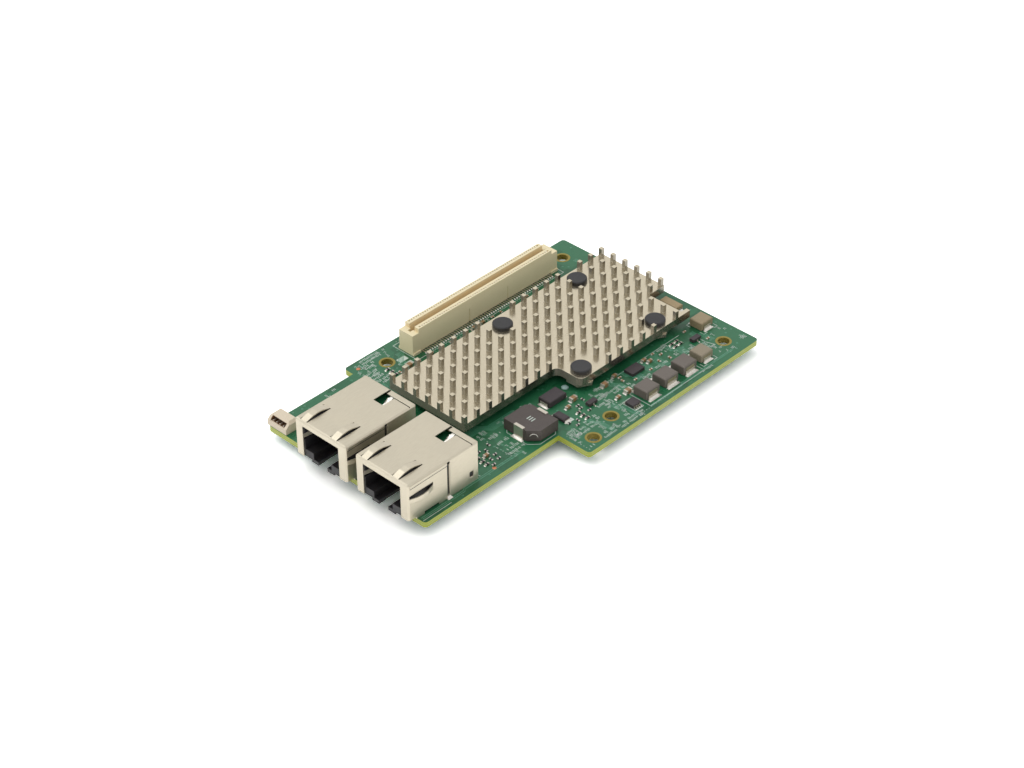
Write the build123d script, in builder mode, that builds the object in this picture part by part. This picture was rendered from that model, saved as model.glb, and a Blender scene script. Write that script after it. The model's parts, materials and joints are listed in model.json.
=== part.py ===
"""Two-port mezzanine network card: board, finned heat sink, two jacks and the parts soldered on the board.

The origin is under the middle of the card at the level of its lowest pin tips.
+X runs to the right, +Y to the back and +Z up, and the jacks open towards -Y.
"""

import os

from build123d import *

os.makedirs("parts", exist_ok=True)

# Circuit board
board_width = 68.0
board_length = 110.0
board_thickness = 1.6
board_corner_radius = 1.0
left_step_length = 28.5
right_step_width = 10.1
right_step_length = 45.5
mount_hole_diameter = 3.2
mount_hole_inset = 6.0
back_hole_inset = 6.8
left_hole_from_step = 9.3
right_hole_from_step = 14.5
corner_hole_inset = 3.4
corner_hole_from_step = 5.2

# Jacks
jack_width = 17.6
jack_depth = 23.4
jack_height = 11.1
jack_gap = 3.25
jack_overhang = 2.7
right_jack_inset = 2.65
sheet = 0.3
sheet_bend = 0.4
shell_fit = 0.05
leg_rise = 0.55
edge_clearance = 0.2
port_width = 12.5
port_top = 9.55
finger_width = 1.9
finger_length = 7.7
finger_setback = 0.45
finger_rise = 0.9
finger_shoulder = 2.2
finger_shoulder_rise = 0.72
finger_slot = 0.3
finger_offset = 5.2
finger_shift = -0.85
side_finger_height = 5.6
side_finger_width = 1.2
side_slot = 0.9
seam_width = 0.4
seam_setback = 13.2
seam_bottom = 1.0
seam_top = 10.2
seam_notch = 0.9
foot_gap_height = 0.6
foot_gap_setback = 5.2
foot_gap_length = 4.8
latch_window_width = 1.3
latch_window_height = 1.6
latch_window_level = 2.6
latch_window_from_rear = 2.6
rear_window_width = 3.4
rear_window_length = 4.0
rear_window_setback = 17.5
rear_window_slit = 0.7
rear_slot_length = 5.4
rear_slot_width = 0.3
shell_tab_width = 1.2
shell_tab_reach = 1.3
insert_depth = 14.5
plug_width = 11.8
plug_top = 9.3
plug_floor = 2.7
plug_depth = 12.3
latch_step_width = 6.2
latch_step_height = 1.8
latch_width = 3.1
insert_drop = 0.15
insert_foot_width = 2.3
tongue_level = 5.9
tongue_width = 1.2
tongue_length = 4.6
tongue_bend = 0.8
tongue_room = 0.25
board_notch_width = 6.4
board_notch_depth = 8.0
peg_diameter = 2.4
peg_sides = 6
peg_spacing = 11.4
peg_setback = 10.4
peg_fit = 0.15
jack_contact_count = 8
jack_contact_pitch = 1.02
jack_contact_width = 0.5
jack_contact_thickness = 0.25
jack_contact_start = 4.2
jack_contact_end = 10.4
jack_contact_fall = 2.45
magnetics_height = 8.4
inner_board_thickness = 0.8
inner_board_margin = 0.8
tail_width = 0.5
tail_hole_diameter = 1.0
tail_hole_sides = 4
tail_reach = 1.5
tail_columns = 4
tail_rows = 2
tail_pitch_x = 3.1
tail_pitch_y = 2.6

# Heat sink, its pins and the chip that it cools
fin_width = 1.06
fin_height = 2.2
fin_columns_front = 7
fin_columns_back = 9
fin_rows = 19
sink_left_gap = 7.44
sink_right_inset = 17.4
sink_front_gap = 8.2
sink_back_inset = 2.82
sink_base_thickness = 2.2
sink_step_radius = 1.8
sink_tab_margin = 3.5
sink_cut_depth = 6.0
sink_cut_fin_column = 5
sink_cut_margin = 0.25
sink_finger_width = 1.2
sink_finger_length = 2.0
sink_boss_diameter = 7.6
sink_boss_sides = 6
sink_boss_height = 0.9
chip_size = 19.0
chip_height = 1.75
chip_cap_inset = 1.2
chip_cap_height = 0.95
pad_thickness = 0.25
pad_inset = 2.0
push_pin_left_inset = 3.94
push_pin_right_inset = 3.28
push_pin_front_y = 10.15
push_pin_back_inset = 13.93
push_pin_head_diameter = 5.4
push_pin_head_height = 1.1
push_pin_head_sides = 20
push_pin_head_bevel = 0.25
push_pin_shaft_diameter = 3.0
push_pin_shaft_sides = 8
push_pin_fit = 0.15
push_pin_barb_width = 3.9
push_pin_barb_height = 2.3
push_pin_tip_width = 1.8
push_pin_prong_width = 2.4
push_pin_slot = 0.7
push_pin_fin_clearance_x = 0.9
push_pin_fin_clearance_y = 0.6

# Mezzanine connector
mezzanine_width = 4.9
mezzanine_length = 53.7
mezzanine_height = 7.35
mezzanine_left_inset = 4.0
mezzanine_back_inset = 12.1
mezzanine_wall = 0.36
mezzanine_contact_slot = 0.45
mezzanine_inner_wall = 0.7
mezzanine_end = 2.2
mezzanine_end_drop = 1.25
mezzanine_floor = 1.2
mezzanine_stand_off = 0.3
mezzanine_foot_length = 2.6
mezzanine_foot_step = 0.35
mezzanine_foot_height = 0.7
mezzanine_groove_width = 0.35
mezzanine_groove_depth = 0.15
mezzanine_groove_height = 3.9
mezzanine_groove_offsets = (-6.4, 7.8)
mezzanine_key_width = 1.1
mezzanine_key_depth = 1.4
mezzanine_contact_margin = 2.9
mezzanine_contact_pitch = 0.8
mezzanine_contact_width = 0.36
mezzanine_contact_thickness = 0.22
mezzanine_contact_foot = 1.2
mezzanine_contact_drop = 0.35

# Side-entry header at the front left corner
header_gap = 7.0
header_width = 6.7
header_depth = 3.9
header_height = 3.1
header_setback = 0.1
header_wall = 0.55
header_floor = 0.85
header_lip = 1.5
header_slope = 1.8
header_back_wall = 0.9
header_bevel = 0.7
header_pin_count = 4
header_pin_pitch = 1.2
header_pin_size = 0.4
header_pin_level = 1.6
header_pin_foot = 0.9

# Parts soldered on the board, by body size in X, Y and Z
terminal_sheet = 0.2
terminal_foot = 0.9
body_bevel = 0.22
bulk_inductor_size = (10.0, 8.7, 3.3)
bulk_inductor_front_cut = 2.5
bulk_inductor_back_cut = 1.3
bulk_terminal_width = 3.0
bulk_terminal_lip = 0.7
inductor_size = (4.3, 4.9, 2.7)
inductor_pitch = 7.1
inductor_row_count = 3
inductor_terminal_width = 3.6
inductor_terminal_height = 1.1
small_inductor_size = (4.0, 4.4, 2.4)
small_terminal_width = 2.6
polymer_size = (3.8, 6.0, 1.9)
polymer_terminal_width = 2.4
polymer_terminal_height = 1.0
tantalum_size = (5.8, 2.6, 1.8)
tantalum_terminal_width = 2.0
diode_size = (3.6, 2.2, 1.0)
diode_terminal_width = 1.4
diode_terminal_height = 0.5
regulator_size = (2.9, 4.5, 0.9)
memory_size = (2.6, 2.9, 1.0)
memory_lead_pitch = 0.65
memory_lead_count = 4
transistor_size = (1.4, 2.9, 1.0)
transistor_lead_pitch = 0.95
transistor_left_lead_count = 2
transistor_right_lead_count = 1
lead_width = 0.32
lead_thickness = 0.15
lead_reach = 0.6
lead_shoulder = 0.5
large_capacitor_size = (1.25, 2.0, 1.0)
large_capacitor_end = 0.44
small_capacitor_size = (0.8, 1.5, 0.7)
small_capacitor_end = 0.33
resistor_size = (0.6, 1.1, 0.4)
resistor_end = 0.24
resistor_row_pitch = 1.5
resistor_bank_pitch = (1.35, 1.9)
resistor_bank_count = (2, 2)
resistor_row_count = 3
front_resistor_count = 3
left_resistor_count = 3

# Places of the soldered parts from the board's back right corner
inductor_row_start = (-5.8, -37.05)
row_small_inductor_place = (-5.85, -16.0)
back_small_inductor_place = (-14.8, -5.3)
regulator_place = (-14.1, -32.1)
memory_place = (-5.2, -42.8)
corner_transistor_place = (-11.6, -11.4)
corner_large_capacitor_places = ((-15.3, -42.0), (-9.4, -39.9))
corner_small_capacitor_places = ((-16.1, -37.4), (-15.1, -27.4), (-13.8, -26.6), (-9.5, -43.4))
resistor_bank_place = (-14.6, -17.2)

# Places from the heat sink's front right side, level with the middle of the board
bulk_inductor_place = (9.1, -12.35)
polymer_place = (4.95, -0.2)
diode_place = (11.4, -4.0)
sink_transistor_place = (12.9, 5.4)
sink_large_capacitor_places = ((8.6, 3.4),)
sink_small_capacitor_places = ((9.9, 0.1),)
resistor_row_place = (13.1, 0.4)

# Place from the left side of the heat sink's cut-out and the board's back edge
tantalum_place = (4.0, -4.6)

# Places from the middle of the right jack's rear side
jack_small_capacitor_places = ((4.35, 6.9),)
front_resistor_place = (3.75, 4.7)

# Places from the middle of the mezzanine connector's right side
connector_large_capacitor_places = ((2.5, -30.65),)
connector_small_capacitor_places = ((2.8, -23.25), (2.8, -7.65), (2.8, -4.45), (2.8, 6.95))
left_resistor_place = (2.5, -35.35)

# Levels and middles worked out from the sizes above
lowest_reach = push_pin_barb_height + push_pin_fit
board_top = lowest_reach + board_thickness
board_y = jack_overhang / 2
board_front = -board_length / 2
board_back = board_length / 2
board_left = -board_width / 2
board_right = board_width / 2
right_step_x = board_right - right_step_width
right_step_y = board_front + right_step_length
jack_front = board_front - jack_overhang
jack_rear = jack_front + jack_depth
jack_right_x = right_step_x - right_jack_inset - jack_width / 2
jack_left_x = jack_right_x - jack_width - jack_gap
header_x = jack_left_x - jack_width / 2 - header_gap - header_width / 2
header_front = board_front + header_setback
left_step_x = header_x - header_width / 2 + edge_clearance
left_step_y = board_front + left_step_length
mezzanine_right = board_left + mezzanine_left_inset + mezzanine_width
mezzanine_x = mezzanine_right - mezzanine_width / 2
mezzanine_y = board_back - mezzanine_back_inset - mezzanine_length / 2
mezzanine_contact_run = mezzanine_length - 2 * mezzanine_contact_margin
mezzanine_contact_count = int(mezzanine_contact_run / mezzanine_contact_pitch) + 1
sink_level = chip_height + pad_thickness
sink_top = sink_level + sink_base_thickness
sink_left = mezzanine_right + sink_left_gap
sink_right = board_right - sink_right_inset
sink_front = jack_rear + sink_front_gap
sink_back = board_back - sink_back_inset
fin_pitch_x = (sink_right - sink_left - fin_width) / (fin_columns_back - 1)
fin_pitch_y = (sink_back - sink_front - fin_width) / (fin_rows - 1)
sink_right_front = sink_left + (fin_columns_front - 1) * fin_pitch_x + fin_width
sink_tab_front = push_pin_front_y - sink_tab_margin
sink_cut_left = sink_left + sink_cut_fin_column * fin_pitch_x + fin_width + sink_cut_margin
push_pin_left_x = sink_left + push_pin_left_inset
push_pin_right_x = sink_right - push_pin_right_inset
push_pin_back_y = sink_back - push_pin_back_inset
chip_x = (push_pin_left_x + push_pin_right_x) / 2
chip_y = (push_pin_front_y + push_pin_back_y) / 2


def plan(height, x=0.0, y=0.0):
    """Level plane at a height over the board's top face, with its origin over a point of the board."""
    return Plane((x, board_y + y, board_top + height))


def upright_along(axis, x, y):
    """Upright plane at the board's top face whose first axis runs along X or Y."""
    direction = Vector(1, 0, 0) if axis == "x" else Vector(0, 1, 0)
    return Plane((x, board_y + y, board_top), x_dir=direction, z_dir=direction.cross(Vector(0, 0, 1)))


def save(piece, name):
    """Label a finished piece and write it to its own file."""
    piece.part.label = name
    export_step(piece.part, f"parts/{name}.step")


# Places that several pieces share
jack_middles = (jack_left_x, jack_right_x)
back_corner = (board_right, board_back)
sink_side = (sink_right_front, 0.0)
cut_side = (sink_cut_left, board_back)
jack_side = (jack_right_x, jack_rear)
connector_side = (mezzanine_right, mezzanine_y)
push_pin_places = [
    (push_pin_left_x, push_pin_front_y),
    (push_pin_left_x, push_pin_back_y),
    (push_pin_right_x, push_pin_front_y),
    (push_pin_right_x, push_pin_back_y),
]
mount_hole_places = [
    (board_left + mount_hole_inset, board_back - back_hole_inset),
    (board_right - mount_hole_inset, board_back - back_hole_inset),
    (board_left + mount_hole_inset, left_step_y + left_hole_from_step),
    (board_right - mount_hole_inset, right_step_y + right_hole_from_step),
    (board_right - corner_hole_inset, right_step_y + corner_hole_from_step),
]
magnetics_depth = jack_depth - sheet - 2 * shell_fit - insert_depth
tail_middle = insert_depth + shell_fit + magnetics_depth / 2
shell_side_x = (jack_width - sheet) / 2


def measured(anchor, place):
    """Point of the board from a place that is measured from an anchor."""
    return (anchor[0] + place[0], anchor[1] + place[1])


def circuit_board():
    """Stepped board with latch notches in its front edge and the holes that the other pieces use."""
    with BuildPart() as board:
        with BuildSketch(plan(-board_thickness)):
            with BuildLine():
                Polyline(
                    (left_step_x, board_front),
                    (right_step_x, board_front),
                    (right_step_x, right_step_y),
                    (board_right, right_step_y),
                    (board_right, board_back),
                    (board_left, board_back),
                    (board_left, left_step_y),
                    (left_step_x, left_step_y),
                    close=True,
                )
            make_face()
        extrude(amount=board_thickness)
        corners = board.edges().filter_by(Axis.Z)
        left_step = corners.sort_by_distance((left_step_x, board_y + left_step_y, board_top))[0]
        right_step = corners.sort_by_distance((right_step_x, board_y + right_step_y, board_top))[0]
        fillet([edge for edge in corners if edge not in (left_step, right_step)], board_corner_radius)
        for middle in jack_middles:
            with BuildSketch(plan(0, middle, board_front)):
                with Locations((0, board_notch_depth / 2)):
                    Rectangle(board_notch_width, board_notch_depth)
            extrude(amount=-board_thickness, mode=Mode.SUBTRACT)
            with BuildSketch(plan(0, middle, jack_front)):
                with Locations((0, peg_setback)):
                    with GridLocations(peg_spacing, 1, 2, 1):
                        RegularPolygon(peg_diameter / 2 + peg_fit, peg_sides)
                with Locations((0, tail_middle)):
                    with GridLocations(tail_pitch_x, tail_pitch_y, tail_columns, tail_rows):
                        RegularPolygon(tail_hole_diameter / 2, tail_hole_sides, major_radius=False)
                with Locations((0, seam_setback)):
                    with GridLocations(2 * shell_side_x, 1, 2, 1):
                        Rectangle(sheet + 2 * peg_fit, shell_tab_width + 2 * peg_fit)
            extrude(amount=-board_thickness, mode=Mode.SUBTRACT)
        with BuildSketch(plan(0)):
            with Locations(*mount_hole_places):
                Circle(mount_hole_diameter / 2)
            with Locations(*push_pin_places):
                RegularPolygon(push_pin_shaft_diameter / 2 + push_pin_fit, push_pin_shaft_sides)
        extrude(amount=-board_thickness, mode=Mode.SUBTRACT)
    save(board, "circuit_board")


def fin_places():
    """Middles of the heat sink's fins: a grid without the places that the push pins and cut-outs take."""
    keep_out_x = push_pin_head_diameter / 2 + push_pin_fin_clearance_x
    keep_out_y = push_pin_head_diameter / 2 + push_pin_fin_clearance_y
    places = []
    for column in range(fin_columns_back):
        for row in range(fin_rows):
            x = sink_left + fin_width / 2 + column * fin_pitch_x
            y = sink_front + fin_width / 2 + row * fin_pitch_y
            under_head = any(
                abs(x - pin_x) < keep_out_x and abs(y - pin_y) < keep_out_y
                for pin_x, pin_y in push_pin_places
            )
            beside_tab = column >= fin_columns_front and y < sink_tab_front + fin_width / 2
            in_cut = column > sink_cut_fin_column and y > sink_back - sink_cut_depth - fin_width / 2
            if not (under_head or beside_tab or in_cut):
                places.append((x, y))
    return places


def heat_sink():
    """Stepped base plate with square fins flush with its edges, and bosses around the push pins."""
    with BuildPart() as sink:
        with BuildSketch(plan(sink_level)):
            with BuildLine():
                Polyline(
                    (sink_left, sink_front),
                    (sink_right_front, sink_front),
                    (sink_right_front, sink_tab_front),
                    (sink_right, sink_tab_front),
                    (sink_right, sink_back - sink_cut_depth + sink_finger_length),
                    (sink_right - sink_finger_width, sink_back - sink_cut_depth + sink_finger_length),
                    (sink_right - sink_finger_width, sink_back - sink_cut_depth),
                    (sink_cut_left, sink_back - sink_cut_depth),
                    (sink_cut_left, sink_back),
                    (sink_left, sink_back),
                    close=True,
                )
            make_face()
        extrude(amount=sink_base_thickness)
        upright_edges = sink.edges().filter_by(Axis.Z)
        step_edge = upright_edges.sort_by_distance((sink_right_front, board_y + sink_tab_front, board_top))[0]
        tab_corner = upright_edges.sort_by_distance((sink_right, board_y + sink_tab_front, board_top))[0]
        fillet([step_edge, tab_corner], sink_step_radius)
        with BuildSketch(plan(sink_level)):
            with Locations(*push_pin_places):
                RegularPolygon(sink_boss_diameter / 2, sink_boss_sides)
        extrude(amount=-sink_boss_height)
        with BuildSketch(plan(sink_top)):
            with Locations(*fin_places()):
                Rectangle(fin_width, fin_width)
        extrude(amount=fin_height)
        with BuildSketch(plan(sink_top)):
            with Locations(*push_pin_places):
                RegularPolygon(push_pin_shaft_diameter / 2 + push_pin_fit, push_pin_shaft_sides)
        extrude(amount=-sink_base_thickness - sink_boss_height, mode=Mode.SUBTRACT)
    save(sink, "heat_sink")


def controller():
    """Controller chip under the heat sink and the thermal pad between them."""
    with BuildPart() as chip:
        with BuildSketch(plan(0, chip_x, chip_y)):
            Rectangle(chip_size, chip_size)
        extrude(amount=chip_height - chip_cap_height)
        with BuildSketch(plan(chip_height - chip_cap_height, chip_x, chip_y)):
            Rectangle(chip_size - 2 * chip_cap_inset, chip_size - 2 * chip_cap_inset)
        extrude(amount=chip_cap_height)
    save(chip, "controller_chip")

    pad_size = chip_size - 2 * chip_cap_inset - 2 * pad_inset
    with BuildPart() as pad:
        with BuildSketch(plan(chip_height, chip_x, chip_y)):
            Rectangle(pad_size, pad_size)
        extrude(amount=pad_thickness)
    save(pad, "thermal_pad")


def push_pins():
    """Four moulded push pins: a bevelled head on the heat sink, a shaft and a split barb under the board."""
    shaft_radius = push_pin_shaft_diameter / 2
    barb_level = -board_thickness - push_pin_fit
    tip_level = barb_level - push_pin_barb_height
    slot_height = sink_level + board_thickness
    with BuildPart() as pin:
        with BuildSketch(plan(sink_top)):
            RegularPolygon(push_pin_head_diameter / 2, push_pin_head_sides)
        extrude(amount=push_pin_head_height)
        chamfer(pin.edges().group_by(Axis.Z)[-1], push_pin_head_bevel)
        with BuildSketch(plan(barb_level)):
            RegularPolygon(shaft_radius, push_pin_shaft_sides)
        extrude(amount=sink_top - barb_level)
        with BuildSketch(upright_along("x", 0, 0)):
            with BuildLine():
                Polyline(
                    (-push_pin_tip_width / 2, tip_level),
                    (push_pin_tip_width / 2, tip_level),
                    (push_pin_barb_width / 2, barb_level),
                    (-push_pin_barb_width / 2, barb_level),
                    close=True,
                )
            make_face()
        extrude(amount=push_pin_prong_width / 2, both=True)
        with BuildSketch(plan(tip_level)):
            Rectangle(push_pin_slot, push_pin_shaft_diameter)
        extrude(amount=slot_height, mode=Mode.SUBTRACT)
    with BuildPart() as pins:
        with Locations(*push_pin_places):
            add(pin.part)
    save(pins, "push_pins")


def mezzanine_connector():
    """Tall board-to-board connector: a slotted housing and two rows of gull-wing contacts."""
    half_width = mezzanine_width / 2
    inner_wall_x = half_width - mezzanine_wall - mezzanine_contact_slot
    cavity_half = inner_wall_x - mezzanine_inner_wall
    slot_x = half_width - mezzanine_wall - mezzanine_contact_slot / 2
    cavity_length = mezzanine_length - 2 * mezzanine_end
    contact_span = (mezzanine_contact_count - 1) * mezzanine_contact_pitch + 2 * mezzanine_contact_width
    with BuildPart() as housing:
        with BuildSketch(plan(0, mezzanine_x, mezzanine_y)):
            Rectangle(mezzanine_width, mezzanine_length)
        extrude(amount=mezzanine_height)
        with BuildSketch(plan(0, mezzanine_x, mezzanine_y)):
            foot_middle = (mezzanine_length - mezzanine_foot_length) / 2
            with Locations((0, -foot_middle), (0, foot_middle)):
                Rectangle(mezzanine_width + 2 * mezzanine_foot_step, mezzanine_foot_length)
        extrude(amount=mezzanine_foot_height)
        with BuildSketch(plan(mezzanine_height, mezzanine_x, mezzanine_y)):
            Rectangle(2 * cavity_half, cavity_length)
        extrude(amount=mezzanine_floor - mezzanine_height, mode=Mode.SUBTRACT)
        with BuildSketch(plan(0, mezzanine_x, mezzanine_y)):
            with Locations((-slot_x, 0), (slot_x, 0)):
                Rectangle(mezzanine_contact_slot, contact_span)
        extrude(amount=mezzanine_height, mode=Mode.SUBTRACT)
        with BuildSketch(plan(0, mezzanine_x, mezzanine_y)):
            Rectangle(mezzanine_width, mezzanine_length - 2 * mezzanine_foot_length)
        extrude(amount=mezzanine_stand_off, mode=Mode.SUBTRACT)
        with BuildSketch(plan(mezzanine_stand_off, mezzanine_x, mezzanine_y)):
            groove_x = half_width - mezzanine_groove_depth / 2
            with Locations(*[(groove_x, offset) for offset in mezzanine_groove_offsets]):
                Rectangle(mezzanine_groove_depth, mezzanine_groove_width)
        extrude(amount=mezzanine_groove_height, mode=Mode.SUBTRACT)
        end_top = mezzanine_height - mezzanine_end_drop
        with BuildSketch(plan(end_top, mezzanine_x, mezzanine_y)):
            end_middle = (mezzanine_length - mezzanine_end) / 2
            with Locations((0, -end_middle), (0, end_middle)):
                Rectangle(mezzanine_width, mezzanine_end)
        extrude(amount=mezzanine_end_drop, mode=Mode.SUBTRACT)
        with BuildSketch(plan(end_top, mezzanine_x, mezzanine_y)):
            key_y = (cavity_length + mezzanine_key_width) / 2
            with Locations((0, -key_y), (0, key_y)):
                Rectangle(cavity_half, mezzanine_key_width)
        extrude(amount=-mezzanine_key_depth, mode=Mode.SUBTRACT)
    save(housing, "mezzanine_housing")

    foot_end = half_width + mezzanine_contact_foot
    riser_outer = slot_x + mezzanine_contact_thickness / 2
    riser_inner = slot_x - mezzanine_contact_thickness / 2
    contact_top = mezzanine_height - mezzanine_contact_drop
    with BuildPart() as pair:
        with BuildSketch(upright_along("x", mezzanine_x, mezzanine_y)):
            with BuildLine():
                Polyline(
                    (riser_inner, 0),
                    (foot_end, 0),
                    (foot_end, mezzanine_contact_thickness),
                    (riser_outer, mezzanine_contact_thickness),
                    (riser_outer, contact_top),
                    (riser_inner, contact_top),
                    close=True,
                )
            make_face()
            mirror(about=Plane.YZ)
        extrude(amount=mezzanine_contact_width / 2, both=True)
    with BuildPart() as contacts:
        with GridLocations(1, mezzanine_contact_pitch, 1, mezzanine_contact_count):
            add(pair.part)
    save(contacts, "mezzanine_contacts")


def header():
    """Header with a sloped open front, a low lip and four right-angle pins that reach the board behind it."""
    cavity_depth = header_depth - header_back_wall
    mouth_width = header_width - 2 * header_wall - header_bevel
    mouth_top = header_height - header_wall
    back = header_front + header_depth
    with BuildPart() as housing:
        with BuildSketch(upright_along("y", header_x - header_width / 2, header_front)):
            with BuildLine():
                Polyline(
                    (0, 0),
                    (header_depth, 0),
                    (header_depth, header_height),
                    (header_slope, header_height),
                    (0, header_lip),
                    close=True,
                )
            make_face()
        extrude(amount=header_width)
        top_corners = housing.edges().filter_by(Axis.Y).group_by(Axis.Z)[-1]
        chamfer(top_corners, header_bevel)
        with BuildSketch(upright_along("x", header_x, header_front)):
            with Locations((0, (header_lip + mouth_top) / 2)):
                Rectangle(mouth_width, mouth_top - header_lip)
        extrude(amount=-cavity_depth, mode=Mode.SUBTRACT)
        with BuildSketch(plan(header_floor, header_x, header_front)):
            with Locations((0, (header_wall + cavity_depth) / 2)):
                Rectangle(mouth_width, cavity_depth - header_wall)
        extrude(amount=header_lip - header_floor, mode=Mode.SUBTRACT)
        with BuildSketch(upright_along("x", header_x, back)):
            with Locations((0, header_pin_level)):
                with GridLocations(header_pin_pitch, 1, header_pin_count, 1):
                    Rectangle(header_pin_size, header_pin_size)
        extrude(amount=header_back_wall, mode=Mode.SUBTRACT)
    save(housing, "header_housing")

    pin_front = header_front + header_wall
    pin_top = header_pin_level + header_pin_size / 2
    pin_under = header_pin_level - header_pin_size / 2
    pin_reach = header_depth - header_wall
    foot_end = pin_reach + header_pin_foot
    with BuildPart() as pin:
        with BuildSketch(upright_along("y", header_x, pin_front)):
            with BuildLine():
                Polyline(
                    (0, pin_under),
                    (pin_reach, pin_under),
                    (pin_reach, 0),
                    (foot_end, 0),
                    (foot_end, header_pin_size),
                    (pin_reach + header_pin_size, header_pin_size),
                    (pin_reach + header_pin_size, pin_top),
                    (0, pin_top),
                    close=True,
                )
            make_face()
        extrude(amount=header_pin_size / 2, both=True)
    with BuildPart() as pins:
        with GridLocations(header_pin_pitch, 1, header_pin_count, 1):
            add(pin.part)
    save(pins, "header_pins")


def arched_finger(plane, outer, width):
    """Spring finger that bows out of a sheet between the two ends of its window."""
    start = finger_setback
    end = finger_setback + finger_length
    middle = (start + end) / 2
    outline = [
        (start, outer),
        (start + finger_shoulder, outer + finger_shoulder_rise),
        (middle, outer + finger_rise),
        (end - finger_shoulder, outer + finger_shoulder_rise),
        (end, outer),
    ]
    underside = [(along, level - sheet) for along, level in reversed(outline)]
    with BuildPart() as finger:
        with BuildSketch(plane):
            with BuildLine():
                Polyline(*outline, *underside, close=True)
            make_face()
        extrude(amount=width)
    return finger.part


def jack_fingers(middle):
    """Spring fingers of one jack's shell: two on its top and one on each side."""
    side_level = board_top + side_finger_height
    fingers = []
    for side in (-1, 1):
        finger_x = middle + finger_shift + side * finger_offset
        top_plane = upright_along("y", finger_x - finger_width / 2, jack_front)
        side_plane = Plane(
            (middle, board_y + jack_front, side_level + (side_finger_width if side > 0 else 0)),
            x_dir=(0, 1, 0),
            z_dir=(0, 0, -side),
        )
        fingers.append(arched_finger(top_plane, jack_height, finger_width))
        fingers.append(arched_finger(side_plane, jack_width / 2, side_finger_width))
    return fingers


def jack_shield(middle, name):
    """Folded sheet shell with spring fingers, seams, windows and solder tabs."""
    skirt = jack_overhang - edge_clearance
    inner_width = jack_width - 2 * sheet
    fingers = jack_fingers(middle)
    side_window_height = side_finger_width + side_slot
    rear_slit_length = jack_depth - sheet - rear_window_setback
    rear_slot_setback = rear_window_setback + rear_window_length - rear_slot_width / 2
    with BuildPart() as shield:
        with BuildSketch(plan(0, middle, jack_front)):
            with Locations((0, jack_depth / 2)):
                Rectangle(jack_width, jack_depth)
        extrude(amount=jack_height)
        bends = shield.edges().filter_by(Axis.Z).filter_by_position(
            Axis.Z, board_top, board_top + jack_height
        ) + shield.edges().group_by(Axis.Z)[-1]
        chamfer(bends, sheet_bend)
        with BuildSketch(plan(0, middle, jack_front)):
            with Locations((0, skirt / 2)):
                Rectangle(jack_width, skirt)
        extrude(amount=leg_rise, mode=Mode.SUBTRACT)
        with BuildSketch(plan(0, middle, jack_front)):
            with Locations((0, jack_depth / 2)):
                Rectangle(inner_width, jack_depth - 2 * sheet)
        extrude(amount=jack_height - sheet, mode=Mode.SUBTRACT)
        with BuildSketch(upright_along("x", middle, jack_front)):
            with Locations((0, port_top / 2)):
                Rectangle(port_width, port_top)
        extrude(amount=-sheet, mode=Mode.SUBTRACT)

        with BuildSketch(plan(jack_height, middle, jack_front)):
            with Locations((finger_shift, finger_setback + finger_length / 2)):
                with GridLocations(2 * finger_offset, 1, 2, 1):
                    Rectangle(finger_width + 2 * finger_slot, finger_length)
        extrude(amount=-sheet, mode=Mode.SUBTRACT)
        with BuildSketch(plan(side_finger_height, middle, jack_front)):
            with Locations((0, finger_setback + finger_length / 2)):
                Rectangle(jack_width, finger_length)
                Rectangle(inner_width, finger_length, mode=Mode.SUBTRACT)
        extrude(amount=side_window_height, mode=Mode.SUBTRACT)
        for finger in fingers:
            add(finger)
        with BuildSketch(plan(tongue_level, middle, jack_front)):
            with BuildLine():
                Polyline(
                    (port_width / 2, sheet),
                    (port_width / 2 - tongue_bend, sheet + tongue_length),
                    (port_width / 2 - tongue_bend + sheet, sheet + tongue_length),
                    (port_width / 2 + sheet, sheet),
                    close=True,
                )
            make_face()
            mirror(about=Plane.YZ)
        extrude(amount=tongue_width)

        with BuildSketch(upright_along("y", middle - jack_width / 2, jack_front)):
            with Locations((seam_setback, (seam_bottom + seam_top) / 2)):
                Rectangle(seam_width, seam_top - seam_bottom)
            with Locations((seam_setback, seam_top)):
                Rectangle(seam_notch, seam_notch)
            with Locations((foot_gap_setback + foot_gap_length / 2, foot_gap_height / 2)):
                Rectangle(foot_gap_length, foot_gap_height)
            with Locations((jack_depth - latch_window_from_rear, latch_window_level)):
                Rectangle(latch_window_width, latch_window_height)
        extrude(amount=jack_width, mode=Mode.SUBTRACT)
        with BuildSketch(plan(jack_height, middle, jack_front)):
            with Locations((rear_window_width / 2, rear_window_setback + rear_window_length / 2)):
                Rectangle(rear_window_width, rear_window_length)
            with Locations((rear_window_width, rear_slot_setback)):
                Rectangle(rear_slot_length, rear_slot_width, align=(Align.MIN, Align.CENTER))
            with Locations((rear_window_slit / 2, jack_depth - sheet)):
                Rectangle(rear_window_slit, rear_slit_length, align=(Align.CENTER, Align.MAX))
        extrude(amount=-sheet, mode=Mode.SUBTRACT)
        with BuildSketch(plan(0, middle, jack_front)):
            with Locations((0, seam_setback)):
                with GridLocations(2 * shell_side_x, 1, 2, 1):
                    Rectangle(sheet, shell_tab_width)
        extrude(amount=-board_thickness - shell_tab_reach)
    save(shield, name)


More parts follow.
